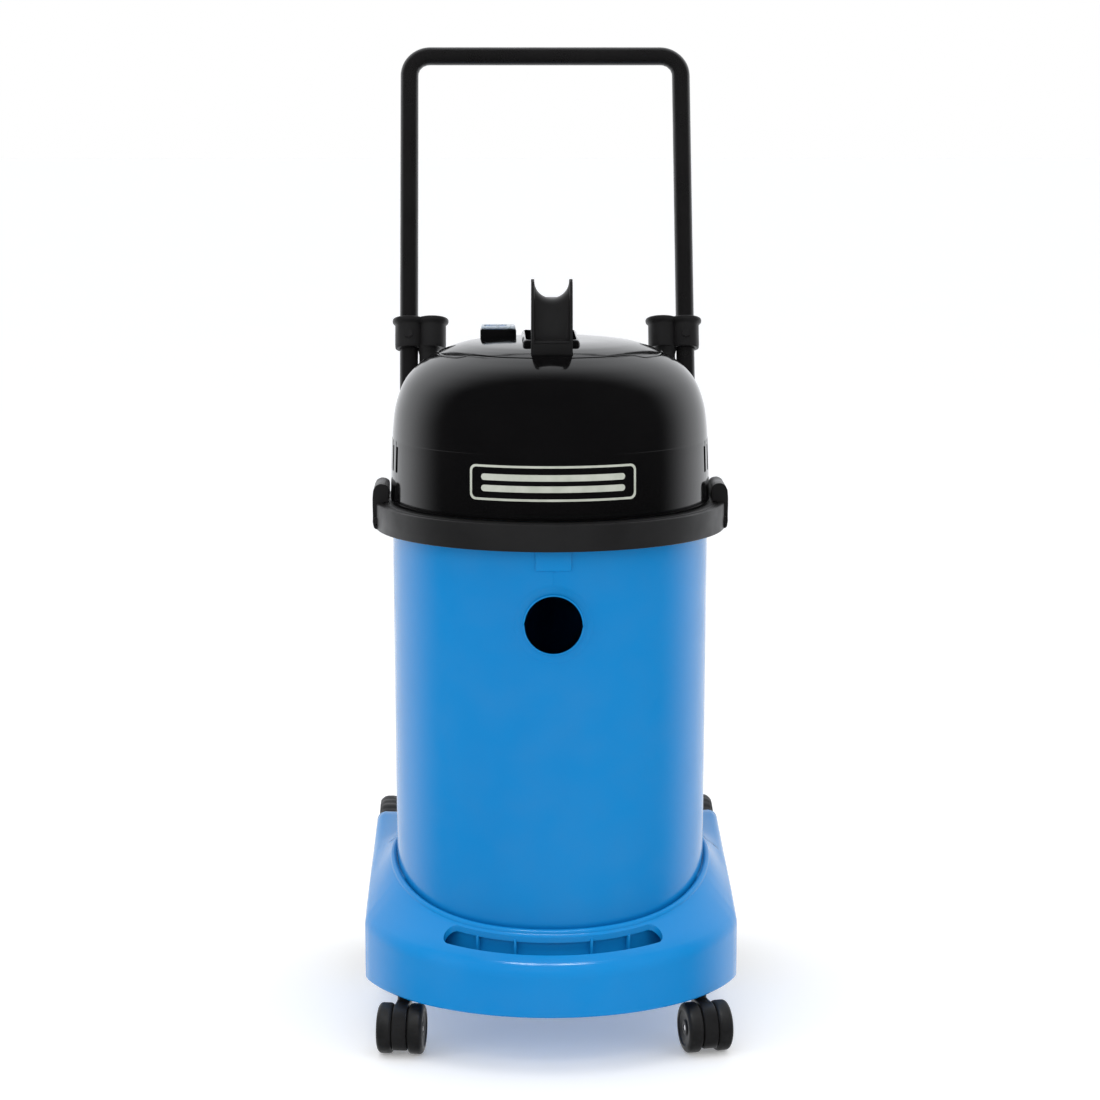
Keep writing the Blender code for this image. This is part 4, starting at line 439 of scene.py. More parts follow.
def roundBar(start, end, radius, sides=32, round=0.0):
    start, end = Vector(start), Vector(end)
    bm = bmesh.new()
    bmesh.ops.create_cone(bm, cap_ends=True, segments=sides, radius1=radius, radius2=radius, depth=(end - start).length)
    if round:
        rims = [edge for edge in bm.edges if all(len(face.verts) > 4 for face in edge.link_faces if face.normal.z ** 2 > 0.5)
                and any(len(face.verts) > 4 for face in edge.link_faces)]
        bmesh.ops.bevel(bm, geom=rims, offset=round, affect="EDGES", segments=3, profile=0.5, material=-1)
    aim = (end - start).to_track_quat("Z", "Y").to_matrix().to_4x4()
    bmesh.ops.transform(bm, matrix=Matrix.Translation((start + end) / 2) @ aim, verts=bm.verts)
    return bm


def turnTo(bm, *matrices):
    for matrix in matrices:
        bmesh.ops.transform(bm, matrix=matrix, verts=bm.verts)
    return bm


def looseObject(bm):
    mesh = bpy.data.meshes.new("spare")
    bm.to_mesh(mesh)
    bm.free()
    piece = bpy.data.objects.new("spare", mesh)
    bpy.context.scene.collection.objects.link(piece)
    return piece


def combined(bm, operation, *tools):
    # join or cut closed shapes, and hand back the result
    target = looseObject(bm)
    spares = [target]
    for tool in tools:
        other = looseObject(tool)
        spares.append(other)
        step = target.modifiers.new("step", "BOOLEAN")
        step.operation = operation
        step.solver = "EXACT"
        step.object = other
    bpy.context.view_layer.update()
    mesh = bpy.data.meshes.new_from_object(target.evaluated_get(bpy.context.evaluated_depsgraph_get()))
    result = bmesh.new()
    result.from_mesh(mesh)
    bpy.data.meshes.remove(mesh)
    for spare in spares:
        data = spare.data
        bpy.data.objects.remove(spare)
        bpy.data.meshes.remove(data)
    return result


def gathered(*shapes):
    # several closed shapes kept as one piece, each whole
    whole = bmesh.new()
    for shape in shapes:
        spare = bpy.data.meshes.new("spare")
        shape.to_mesh(spare)
        shape.free()
        whole.from_mesh(spare)
        bpy.data.meshes.remove(spare)
    return whole


def finishPiece(name, bm, body, finish, stands=(), sharp=38, shift=True, bevel=0.0, segments=2):
    if shift:
        bmesh.ops.translate(bm, verts=bm.verts, vec=(0, axisY, 0))
    bmesh.ops.remove_doubles(bm, verts=bm.verts, dist=1e-6)
    mesh = bpy.data.meshes.new(name)
    bm.to_mesh(mesh)
    bm.free()
    mesh.shade_smooth()
    mesh.set_sharp_from_angle(angle=math.radians(sharp))
    mesh.materials.append(slotFinish.get(finish, finish))
    piece = bpy.data.objects.new(name, mesh)
    bpy.context.scene.collection.objects.link(piece)
    if bevel:
        edge = piece.modifiers.new("edge", "BEVEL")
        edge.width = bevel
        edge.segments = segments
        edge.limit_method = "ANGLE"
        edge.angle_limit = math.radians(40)
        edge.harden_normals = True
    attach(piece, body)
    if stands:
        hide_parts(*stands)
    return piece


def fromFront(radius, angle, height):
    # a point by its angle from straight ahead, turning towards +X
    return (radius * math.sin(angle), -radius * math.cos(angle), height)


def spread(first, last, count):
    return [first + (last - first) * i / (count - 1) for i in range(count)]


def readOff(value, stations):
    for (start, low), (end, high) in zip(stations, stations[1:]):
        if value <= end:
            return low + (high - low) * max(0.0, (value - start) / (end - start))
    return stations[-1][1]


def smoothStep(value, start, end):
    share = min(1.0, max(0.0, (value - start) / (end - start)))
    return share * share * (3 - 2 * share)


base = dict(
    bottom=baseLow.z, radius=0.198, sideFront=0.188, sideRear=0.1813, armEnd=0.142, armInner=0.1315,
    cup=0.1564, lip=0.1632, rimLow=0.132, rimHigh=0.181, rimStart=-0.190, rimEnd=0.070,
    apronFront=0.100, apronCorner=0.112, apronRear=0.174, shoulder=0.020, wall=0.004,
    slotInner=0.1655, slotOuter=0.1845, slotAngle=34.0, slotRibs=(-26.5, -13.0, 13.0, 26.5),
    wheelY=0.198, wheelZ=0.090, archRadius=0.096, archInner=0.1565, wheelX=0.169,
    tubeX=0.144, tubeY=0.108, tubeRadius=0.0095, castorX=0.147, castorY=-0.105, stem=0.005,
)
cornerY = -math.sqrt(base["radius"] ** 2 - base["sideFront"] ** 2)


def rimHeight(y):
    return base["rimLow"] + (base["rimHigh"] - base["rimLow"]) * smoothStep(y, base["rimStart"], base["rimEnd"])


def apronHeight(y):
    return readOff(y, ((-base["radius"], base["apronFront"]), (cornerY, base["apronCorner"]), (base["armEnd"], base["apronRear"])))


def sideWidth(y):
    return readOff(y, ((cornerY, base["sideFront"]), (base["armEnd"], base["sideRear"])))


def shoulderRun(reach, wall, inner, rim):
    # from the top of the upright wall, over a round shoulder, up the slope to the lip
    slope = math.atan2(max(0.0001, reach - inner), max(0.0001, rim - wall))
    run = math.hypot(reach - inner, rim - wall)
    size = min(base["shoulder"], run * 0.42 / max(0.05, math.tan(slope / 2) * 2))
    centre = (reach - size, wall - size * math.tan(slope / 2) * 0.35)
    line = []
    for k in range(6):
        turn = slope * k / 5
        line.append((centre[0] + size * math.cos(turn), centre[1] + size * math.sin(turn)))
    start = line[-1]
    for k in (0.35, 0.70, 0.90, 1.0):
        line.append((start[0] + (inner - start[0]) * k, start[1] + (rim - start[1]) * k))
    return line


def baseOutline():
    corner = math.atan2(base["sideFront"], -cornerY)
    half = [fromFront(base["radius"], a, 0)[:2] for a in spread(0, corner, 30)]
    half = half[:-1] + eased([half[-3], half[-1], (sideWidth(-0.03), -0.03)], 0.010, steps=6)[1:-1]
    half += [(sideWidth(y), y) for y in spread(-0.040, 0.058, 12)]
    half += [fromFront(base["lip"], a, 0)[:2] for a in spread(math.radians(115), math.pi, 26)]
    return half + [(-x, y) for x, y in half[-2:0:-1]]


outline = baseOutline()
levels = []
for x, y in outline:
    angle = math.atan2(x, -y)
    reach = math.hypot(x, y)
    rim = rimHeight(fromFront(base["lip"], angle, 0)[1])
    wall = min(apronHeight(y), rim - 0.0035)
    column = [(reach - 0.0030, base["bottom"]), (reach - 0.0012, base["bottom"] + 0.0004),
              (reach - 0.0002, base["bottom"] + 0.0018)]
    column += [(reach, base["bottom"] + (wall - base["bottom"]) * k) for k in (0.25, 0.5, 0.75, 0.9)]
    column += shoulderRun(reach, wall, base["lip"] + 0.0002, rim - 0.0030)
    bead = (base["lip"] - 0.0034, rim - 0.0016)
    column += [(bead[0] + 0.0033 * math.cos(math.radians(a)), bead[1] + 0.0033 * math.sin(math.radians(a)))
               for a in (-15, 10, 35, 60, 90, 120, 150, 175)]
    levels.append([fromFront(r, angle, z) for r, z in column])
shell = skinned([[column[i] for column in levels] for i in range(len(levels[0]))])

arms = []
for side in (-1, 1):
    sections = []
    for y in spread(-0.052, 0.139, 24) + [0.1412, base["armEnd"]]:
        pull = 0.0 if y <= 0.139 else (0.0008 if y < 0.1416 else 0.0030)
        outer = sideWidth(y) + 0.0003 * smoothStep(y, -0.052, -0.030) - pull
        wall = apronHeight(y)
        rim = rimHeight(y)
        crest = max(math.sqrt(max(0.0, base["lip"] ** 2 - y ** 2)), base["armInner"] + 0.012)
        run = shoulderRun(outer, wall - pull, crest, rim - 0.0030)
        low = base["bottom"] + 0.0002 + pull
        section = [(base["armInner"], low), (outer - 0.0030, low), (outer - 0.0012, low + 0.0004),
                   (outer - 0.0002, low + 0.0018), (outer, wall * 0.5 + low * 0.5)] + run
        section += [(crest - 0.003, rim - 0.0008 - pull), (base["armInner"] + pull, rim - pull)]
        sections.append([(side * px, y, pz) for px, pz in section])
    arms.append(skinned(sections))

tongue = brick((-0.150, base["armEnd"] - 0.020, base["wheelZ"] - 0.016), (0.150, base["wheelY"] + 0.020, base["wheelZ"] + 0.016), 0.005)
shell = combined(shell, "UNION", *arms, tongue)

cupSide = [(0.0, drumLow.z - 0.0004)]
for k in range(9):
    turn = math.radians(90 * k / 8)
    cupSide.append((base["cup"] - 0.045 + 0.045 * math.sin(turn), drumLow.z + 0.1000 - 0.1004 * math.cos(turn)))
cupSide += [(base["cup"], 0.240), (0.0, 0.240)]
cupBore = spun(cupSide, 120)

hollow = []
for x, y in outline:
    angle = math.atan2(x, -y)
    if abs(angle) > math.radians(98):
        continue
    reach = math.hypot(x, y) - base["wall"]
    rim = rimHeight(fromFront(base["lip"], angle, 0)[1])
    deck = rim - base["wall"] * 1.6
    wall = apronHeight(y) - base["wall"] * 0.5
    hollow.append((angle, [fromFront(base["lip"] - 0.002, angle, base["bottom"] - 0.01), fromFront(reach, angle, base["bottom"] - 0.01),
                           fromFront(reach, angle, wall), fromFront(base["lip"] - 0.002, angle, deck)]))
hollowShape = skinned([section for _, section in sorted(hollow, key=lambda item: item[0])])

slotMiddle = (base["slotInner"] + base["slotOuter"]) / 2
slotHalf = (base["slotOuter"] - base["slotInner"]) / 2
slotEnd = math.radians(base["slotAngle"])


def slotOutline(grow):
    points = [fromFront(base["slotOuter"] + grow, a, 0)[:2] for a in spread(-slotEnd, slotEnd, 40)]
    for side in (1, -1):
        centre = Vector(fromFront(slotMiddle, side * slotEnd, 0)[:2])
        outward = Vector(fromFront(1, side * slotEnd, 0)[:2])
        along = Vector((outward.y, -outward.x)) * -side
        turns = spread(12, 168, 10) if side == 1 else spread(168, 12, 10)
        points += [tuple(centre + (slotHalf + grow) * (outward * math.cos(math.radians(t)) + along * math.sin(math.radians(t))))
                   for t in turns]
        if side == 1:
            points += [fromFront(base["slotInner"] - grow, a, 0)[:2] for a in spread(slotEnd, -slotEnd, 40)]
    return points


slotHole = turnTo(slab(slotOutline(0), 0.080), Matrix.Translation((0, 0, 0.088)))
arches = [roundBar((side * base["archInner"], base["wheelY"], base["wheelZ"]), (side * 0.200, base["wheelY"], base["wheelZ"]),
                   base["archRadius"], 96) for side in (-1, 1)]
sockets = [roundBar((side * base["tubeX"], base["tubeY"], 0.080), (side * base["tubeX"], base["tubeY"], 0.201),
                    base["tubeRadius"] + 0.0006, 48) for side in (-1, 1)]
axleBore = roundBar((-0.2, base["wheelY"], base["wheelZ"]), (0.2, base["wheelY"], base["wheelZ"]), 0.0054, 32)
shell = combined(shell, "DIFFERENCE", cupBore, hollowShape)
bosses = [roundBar((side * base["castorX"], base["castorY"], base["bottom"]), (side * base["castorX"], base["castorY"], 0.103), 0.0148, 40)
          for side in (-1, 1)]
shell = combined(shell, "UNION", *bosses)
stems = [roundBar((side * base["castorX"], base["castorY"], 0.040), (side * base["castorX"], base["castorY"], 0.0964), 0.0055, 32)
         for side in (-1, 1)]
shell = combined(shell, "DIFFERENCE", slotHole, *arches, *sockets, *stems, axleBore)
ribs = []
for degrees in base["slotRibs"]:
    web = brick((-0.0013, -0.1880, base["bottom"] + 0.012), (0.0013, -base["lip"] + 0.004, 0.1080), 0.0006, 2)
    rib = brick((-0.0012, -base["lip"] - 0.0040, 0.1000), (0.0012, -base["lip"] + 0.004, 0.1262), 0.0008, 2)
    ribs += [turnTo(shape, Matrix.Rotation(math.radians(degrees), 4, "Z")) for shape in (web, rib)]
shinyOnes.objects.link(finishPiece("base_shell", gathered(shell, *ribs), "base", "blue_moulding", ["chassis"], sharp=32))
print("base shaped")


drum = dict(
    radius=0.158, draft=0.002, wall=0.003, cornerWidth=0.045, cornerHeight=0.100, inletZ=0.437, bore=0.027,
    collar=0.0295, flange=0.0345, proud=0.005, tabWidth=0.035, tabLow=0.4886, tabProud=0.0019,
)


def drumRadiusAt(z):
    low = drumLow.z + drum["cornerHeight"]
    return drum["radius"] - drum["draft"] * (1 - min(1.0, max(0.0, (z - low) / (drumHigh.z - low))))


def drumSide(grow):
    low = drum["radius"] - drum["draft"]
    middle = drumLow.z + drum["cornerHeight"]
    points = [(0.0, drumLow.z - grow), (0.060, drumLow.z - grow)]
    for k in range(17):
        turn = math.radians(90 * k / 16)
        points.append((low - drum["cornerWidth"] + (drum["cornerWidth"] + grow) * math.sin(turn),
                       middle - (drum["cornerHeight"] + grow) * math.cos(turn)))
    points += [(drumRadiusAt(z) + grow, z) for z in spread(middle + 0.030, drumHigh.z, 12)]
    return points


drumBody = spun(drumSide(0.0) + drumSide(-drum["wall"])[::-1], 144)
inletBore = roundBar((0, -drum["radius"] - 0.03, drum["inletZ"]), (0, -drum["radius"] + 0.04, drum["inletZ"]), drum["bore"], 96)
boltHole = roundBar((0, 0, drumLow.z - 0.010), (0, 0, drumLow.z + 0.010), 0.0043, 24)
drumBody = combined(drumBody, "DIFFERENCE", inletBore, boltHole)

# the collar round the inlet: a flat ring in front, whose foot runs out softly into the drum's side
collarFace = -(drum["radius"] + drum["proud"])
collarRows = [(drum["bore"] - 0.0001, None, 0.0110), (drum["bore"] - 0.0001, 0.0012, None), (drum["bore"] + 0.0003, 0.0004, None),
              (drum["bore"] + 0.0009, 0.0, None), (drum["collar"] - 0.0008, 0.0, None), (drum["collar"] - 0.0002, 0.0003, None),
              (drum["collar"], 0.0010, None)]
collarFoot = [(drum["collar"] + 0.0003, 0.0029), (0.0303, 0.0021), (0.0312, 0.0017), (0.0326, 0.0015), (0.0338, 0.0012),
              (0.0347, 0.0007), (0.0358, 0.00030), (0.0372, 0.00008), (0.0390, -0.0002), (0.0400, -0.0012)]
collarRings = []
sides = 96
for radius, depth, inward in collarRows:
    ring = []
    for k in range(sides):
        turn = 2 * math.pi * k / sides
        x, z = radius * math.sin(turn), radius * math.cos(turn)
        wallY = -math.sqrt(drumRadiusAt(drum["inletZ"] + z) ** 2 - x * x)
        ring.append((x, wallY + 0.0025 if depth is None else collarFace + depth, drum["inletZ"] + z))
    collarRings.append(ring)
for radius, stand in collarFoot:
    ring = []
    for k in range(sides):
        turn = 2 * math.pi * k / sides
        x, z = radius * math.sin(turn), radius * math.cos(turn)
        ring.append((x, -math.sqrt((drumRadiusAt(drum["inletZ"] + z) + stand) ** 2 - x * x), drum["inletZ"] + z))
    collarRings.append(ring)
collarRings.append([(x * 0.69, y + 0.0035, drum["inletZ"] + (z - drum["inletZ"]) * 0.69) for x, y, z in collarRings[-1]])
collarRings.append(collarRings[0])
inletCollar = skinned(collarRings[:-1] + [[tuple(Vector(p)) for p in collarRings[0]]], capped=False)
bmesh.ops.remove_doubles(inletCollar, verts=inletCollar.verts, dist=1e-6)
bmesh.ops.recalc_face_normals(inletCollar, faces=inletCollar.faces)
notches = [roundBar((side * (drum["collar"] + 0.0010), collarFace - 0.004, drum["inletZ"]),
                    (side * (drum["collar"] + 0.0010), collarFace + 0.0022, drum["inletZ"]), 0.0016, 20) for side in (-1, 1)]
inletCollar = combined(inletCollar, "DIFFERENCE", *notches)

# the tab under the band, which follows the drum's round
half = drum["tabWidth"] / 2
tabTop = bandLow.z + 0.004
tabShape = brick((-half, -drum["radius"] - drum["tabProud"], drum["tabLow"]), (half, -drum["radius"] + 0.0008, tabTop), 0.0015, 3)
cuts = [edge for edge in tabShape.edges if abs(edge.verts[0].co.x - edge.verts[1].co.x) > drum["tabWidth"] * 0.8]
bmesh.ops.subdivide_edges(tabShape, edges=cuts, cuts=14, use_grid_fill=True)
for vert in tabShape.verts:
    vert.co.y += drum["radius"] - math.sqrt(drum["radius"] ** 2 - vert.co.x ** 2)

# the mould's parting line, a hair proud, over the tab and from the tab down to the collar
seamLines = []
for low, high in ((drum["inletZ"] + 0.0335, drum["tabLow"] + 0.001), (drum["tabLow"] - 0.001, tabTop)):
    extra = drum["tabProud"] if low > 0.480 else 0.0
    rings = []
    for z in spread(low, high, 12):
        front = -drumRadiusAt(z) - extra
        rings.append([(-0.0005, front + 0.0004, z), (-0.0003, front - 0.00012, z), (0.0, front - 0.00022, z),
                      (0.0003, front - 0.00012, z), (0.0005, front + 0.0004, z)])
    seamLines.append(skinned(rings))
finishPiece("drum_body", gathered(drumBody, inletCollar, tabShape, *seamLines), "base", "blue_moulding", ["drum"], sharp=40)

deflectLow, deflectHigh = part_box("inlet_deflector")
mouth, back = -(deflectLow.y - axisY), -(deflectHigh.y - axisY)
tubeRound = (deflectHigh.x - deflectLow.x) / 2
lining = [(0, back), (tubeRound, back), (tubeRound, mouth), (tubeRound - 0.0025, mouth), (tubeRound - 0.0025, back + 0.0025), (0, back + 0.0025)]
lining = turnTo(spun(eased(lining, 0.0006), 72), Matrix.Rotation(math.radians(90), 4, "X"), Matrix.Translation((0, 0, drum["inletZ"])))
outlet = brick((-tubeRound - 0.002, -back - 0.036, drum["inletZ"] - tubeRound - 0.002),
               (tubeRound + 0.002, -back - 0.0025, drum["inletZ"] - 0.010), 0.002)
finishPiece("inlet_lining", combined(lining, "DIFFERENCE", outlet), "base", "black_moulding", ["inlet_deflector"])
sealLow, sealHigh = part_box("inlet_seal")
sealFront, sealBack = -(sealLow.y - axisY), -(sealHigh.y - axisY)
sealRing = eased([(0.0243, sealBack), (0.0264, sealBack), (0.0264, sealFront), (0.0243, sealFront)], 0.0008, True)
sealRing = turnTo(spun(sealRing, 72, True), Matrix.Rotation(math.radians(90), 4, "X"), Matrix.Translation((0, 0, drum["inletZ"])))
finishPiece("inlet_ring", sealRing, "base", "rubber", ["inlet_seal"])
print("drum and inlet shaped")


band = dict(radius=0.1755, seat=0.166, inner=0.1584, lip=0.012, wall=0.003, lugWidth=0.004, lugReach=0.0105, clipWidth=0.050, pinX=0.1722, pinZ=0.5148,
            tubeX=0.144, tubeY=0.108, tubeRoom=0.0115)

low, high = bandLow.z, bandHigh.z
lipLow = drumHigh.z + 0.0003
outer = band["radius"]
profile = eased([(band["inner"], low), (band["seat"], low), (band["seat"], high - band["wall"]), (outer - band["wall"], high - band["wall"]),
                 (outer - band["wall"], low), (outer, low), (outer, high - 0.0012), (outer - 0.0012, high), (outer - 0.0060, high),
                 (outer - 0.0066, high - 0.0009), (outer - 0.0074, high - 0.0009), (outer - 0.0080, high), (band["seat"] - band["lip"], high),
                 (band["seat"] - band["lip"], lipLow), (band["inner"], lipLow)], 0.0010, True, 3)
bandRing = spun(profile, 144, True)
edgeY = band["clipWidth"] / 2 + 0.0008
cutters, lugs = [], []
for side in (-1, 1):
    inX, outX = sorted((side * (band["seat"] + 0.0004), side * (outer + 0.010)))
    cutters.append(brick((inX, -edgeY - 0.0006, low - 0.01), (outX, edgeY + 0.0006, high + 0.01)))
    cutters.append(roundBar((side * band["tubeX"], band["tubeY"], low - 0.01), (side * band["tubeX"], band["tubeY"], high + 0.01), band["tubeRoom"], 48))
    for end in (-1, 1):
        near, far = sorted((end * edgeY, end * (edgeY + band["lugWidth"])))
        inX, outX = sorted((side * 0.160, side * (band["seat"] + band["lugReach"])))
        lug = slab(eased([(inX, low + 0.0005), (outX, low + 0.0005), (outX, low + 0.013), (inX, low + 0.013)], 0.0045, True, 5), far - near)
        lugs.append(turnTo(lug, Matrix.Rotation(math.radians(90), 4, "X"), Matrix.Translation((0, far, 0))))
finishPiece("band_ring", gathered(combined(bandRing, "DIFFERENCE", *cutters), *lugs), "base", "black_moulding", ["drum_band"], sharp=34, bevel=0.0005)

for side, name in ((-1, "left"), (1, "right")):
    clipLow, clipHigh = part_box("clip_" + name)
    # the lever seen from its end: barrel at the hinge, flat back with a finger lip, hook arched over at the top
    top = clipHigh.z - band["pinZ"]
    lever = [(-0.0054, 0.0078), (-0.0050, 0.0030), (-0.0046, 0.0008), (-0.0044, -0.0022), (-0.0020, -0.0043), (0.0012, -0.0045), (0.0044, -0.0024),
             (0.0052, 0.0020), (0.0050, 0.0080), (0.0052, 0.0180), (0.0052, top - 0.0150), (0.0046, top - 0.0070),
             (0.0022, top - 0.0022), (-0.0022, top), (-0.0070, top - 0.0006), (-0.0102, top - 0.0028), (-0.0108, top - 0.0052),
             (-0.0108, bandHigh.z + 0.0009 - band["pinZ"]), (-0.0054, bandHigh.z + 0.0009 - band["pinZ"])]
    shape = slab([(side * x, z) for x, z in eased(lever, 0.0016, True, 3)], band["clipWidth"])
    shape = turnTo(shape, Matrix.Rotation(math.radians(90), 4, "X"), Matrix.Translation((side * band["pinX"], band["clipWidth"] / 2, band["pinZ"])))
    bmesh.ops.recalc_face_normals(shape, faces=shape.faces)
    bore = roundBar((side * band["pinX"], -0.04, band["pinZ"]), (side * band["pinX"], 0.04, band["pinZ"]), 0.0024, 24)
    outX = side * (band["pinX"] + 0.0052)
    thumb = brick((min(outX, outX - side * 0.0010), -0.0190, band["pinZ"] + 0.0050), (max(outX, outX - side * 0.0010), 0.0190, band["pinZ"] + 0.0215), 0.0004)
    thumb = turnTo(thumb, Matrix.Translation((side * 0.0004, 0, 0)))
    shape = combined(shape, "DIFFERENCE", bore, thumb)
    grips = [brick((min(outX, outX - side * 0.0012), -0.0170, band["pinZ"] + z), (max(outX, outX - side * 0.0012), 0.0170, band["pinZ"] + z + 0.0014), 0.0004)
             for z in (0.0075, 0.0110, 0.0145, 0.0180)]
    finishPiece("clip_lever_" + name, gathered(shape, *grips), name + "_clip", "black_moulding", ["clip_" + name], bevel=0.0007)
print("band and clips shaped")


head = dict(
    skirtRadius=0.160, skirtDraft=0.0021, wall=0.003, ventsPerSide=7, ventWidth=0.008, ventHeight=0.031, ventPitch=6.25, ventStart=74.0,
    capFront=0.1045, capSide=0.1120, troughWidth=0.050, seam=0.0014, badgeLow=0.5560, badgeHigh=0.5900, badgeHalf=0.083,
)
skirtTopRadius = head["skirtRadius"] - head["skirtDraft"]
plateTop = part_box("motor_plate")[1].z

seat = plateTop + 0.0003
inner = head["skirtRadius"] - head["wall"]
profile = eased([(head["skirtRadius"], skirtLow.z), (skirtTopRadius + 0.0004, skirtHigh.z - 0.012), (skirtTopRadius, skirtHigh.z),
                 (skirtTopRadius - head["wall"], skirtHigh.z), (inner - 0.0006, seat + 0.003), (inner - 0.009, seat + 0.003),
                 (inner - 0.009, seat), (inner, seat), (inner, skirtLow.z)], 0.0009, True, 3)
skirt = spun(profile, 144, True)
vents = []
for side in (-1, 1):
    for i in range(head["ventsPerSide"]):
        vent = slab(eased([(-head["ventWidth"] / 2, skirtHigh.z - head["ventHeight"]), (head["ventWidth"] / 2, skirtHigh.z - head["ventHeight"]),
                           (head["ventWidth"] / 2, skirtHigh.z + 0.01), (-head["ventWidth"] / 2, skirtHigh.z + 0.01)], 0.0015, True), 0.020)
        vents.append(turnTo(vent, Matrix.Rotation(math.radians(90), 4, "X"), Matrix.Translation((0, -0.150, 0)),
                            Matrix.Rotation(side * math.radians(head["ventStart"] + head["ventPitch"] * i), 4, "Z")))
glandHole = roundBar((0, 0.150, (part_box("cable_gland")[0].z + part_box("cable_gland")[1].z) / 2),
                     (0, 0.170, (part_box("cable_gland")[0].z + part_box("cable_gland")[1].z) / 2), 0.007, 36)
finishPiece("skirt_shell", combined(skirt, "DIFFERENCE", *vents, glandHole), "head", "head_moulding", ["head_skirt"], sharp=30)

# one line for the whole head from the skirt up to the crown; the dome and the cap share it
crownLine = flowing([(skirtTopRadius, domeLow.z), (0.1570, domeLow.z + 0.016), (0.1548, domeLow.z + 0.0345), (0.1502, domeLow.z + 0.0510),
                     (0.1448, domeLow.z + 0.0626), (0.1378, domeLow.z + 0.0719), (0.1300, domeLow.z + 0.0793), (0.1220, domeLow.z + 0.0850),
                     (0.1130, domeLow.z + 0.0899), (0.1060, domeLow.z + 0.0931), (0.1000, domeLow.z + 0.0955), (0.0920, domeLow.z + 0.0981),
                     (0.0800, domeLow.z + 0.1008), (0.0580, domeLow.z + 0.1031), (0.0290, domeLow.z + 0.1038), (0.0, domeLow.z + 0.1040)], 5)


def crownHeight(radius):
    for (outR, outZ), (inR, inZ) in zip(crownLine, crownLine[1:]):
        if inR <= radius <= outR:
            return outZ + (inZ - outZ) * (outR - radius) / max(1e-9, outR - inR)
    return crownLine[0][1] if radius > 0.1 else crownLine[-1][1]


def capEdge(angle):
    # the seam stands further out at the sides than across the front and back
    turn = abs(math.degrees(angle)) % 180
    turn = min(turn, 180 - turn)
    return head["capFront"] + (head["capSide"] - head["capFront"]) * smoothStep(turn, 47, 56)


def shapedBy(bm, capOne):
    # carry the rings beside the seam over to the seam's own line
    for vert in bm.verts:
        radius = math.hypot(vert.co.x, vert.co.y)
        if radius < 1e-6:
            continue
        angle = math.atan2(vert.co.x, -vert.co.y)
        edge = capEdge(angle)
        plain = head["capFront"]
        if capOne:
            share = smoothStep(radius, 0.070, plain)
        else:
            share = 1 - smoothStep(radius, plain, 0.134)
        moved = radius + (edge - plain) * share
        lift = crownHeight(moved) - crownHeight(radius)
        vert.co.x *= moved / radius
        vert.co.y *= moved / radius
        vert.co.z += lift
    return bm


outer = [point for point in crownLine if point[0] > head["capFront"] + head["seam"] / 2 + 0.0004]
seamR = head["capFront"] + head["seam"] / 2
outer += [(seamR + 0.0002, crownHeight(seamR + 0.0002) - 0.0001), (seamR, crownHeight(seamR) - 0.0006)]
innerLine = []
for i, point in enumerate(outer):
    before, after = Vector(outer[max(i - 1, 0)]), Vector(outer[min(i + 1, len(outer) - 2)])
    along = (after - before).normalized()
    innerLine.append((min(point[0] - along.y * head["wall"], point[0]), point[1] + along.x * head["wall"]))
innerLine = [p for p in innerLine[:-3] if p[0] > seamR + 0.002] + [(seamR, crownHeight(seamR) - 0.0040)]
dome = shapedBy(spun([(skirtTopRadius - 0.0006, domeLow.z)] + [(skirtTopRadius, domeLow.z + 0.0006)] + outer[1:] + innerLine[::-1], 180, True), False)
finishPiece("dome_shell", dome, "head", "head_moulding", ["head_dome"], sharp=34)

capR = head["capFront"] - head["seam"] / 2
capLine = [point for point in crownLine if point[0] < capR - 0.0008]
capTop = [(capR, crownHeight(capR) - 0.0004), (capR - 0.0003, crownHeight(capR) + 0.0001)] + capLine
capUnder = [(0.0, capLine[-1][1] - 0.0035)] + [(r, z - 0.0035) for r, z in capLine[::-1] if 0.01 < r < capR - 0.003] + [(capR, crownHeight(capR) - 0.0040)]
cap = shapedBy(spun(capUnder[::-1][:1] + capTop + capUnder[:-1], 180, False), True)
bmesh.ops.holes_fill(cap, edges=[edge for edge in cap.edges if edge.is_boundary], sides=0)
bmesh.ops.recalc_face_normals(cap, faces=cap.faces)
hornY = (hornLow.y - axisY, hornHigh.y - axisY)
postLength = 0.034
troughFloor = 0.681
halfWidth = head["troughWidth"] / 2
frontY, rearY = hornY[0] + postLength + 0.001, hornY[1] - postLength - 0.001
well = brick((-halfWidth - 0.003, frontY - 0.003, troughFloor - 0.003), (halfWidth + 0.003, rearY + 0.003, capHigh.z - 0.0035), 0.004)
switchLow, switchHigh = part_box("switch_cover")
boot = ((switchLow.x + switchHigh.x) / 2, (switchLow.y + switchHigh.y) / 2 - axisY)
seatHalf = ((switchHigh.x - switchLow.x) / 2 + 0.001, (switchHigh.y - switchLow.y) / 2 + 0.001)
seatTop = switchLow.z - 0.0003
switchSeat = brick((boot[0] - seatHalf[0], boot[1] - seatHalf[1], capHigh.z - 0.012), (boot[0] + seatHalf[0], boot[1] + seatHalf[1], seatTop), 0.0012)
cap = combined(cap, "UNION", well, switchSeat)
trough = brick((-halfWidth, frontY, troughFloor), (halfWidth, rearY, capHigh.z + 0.030), 0.005)
footHalf = (hornHigh.x - hornLow.x) / 2 + 0.0003
feet = [brick((-footHalf, a - 0.0003, troughFloor + 0.004), (footHalf, b + 0.0003, capHigh.z + 0.010))
        for a, b in ((hornY[0], hornY[0] + postLength), (hornY[1] - postLength, hornY[1]))]
housingLow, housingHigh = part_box("switch_housing")
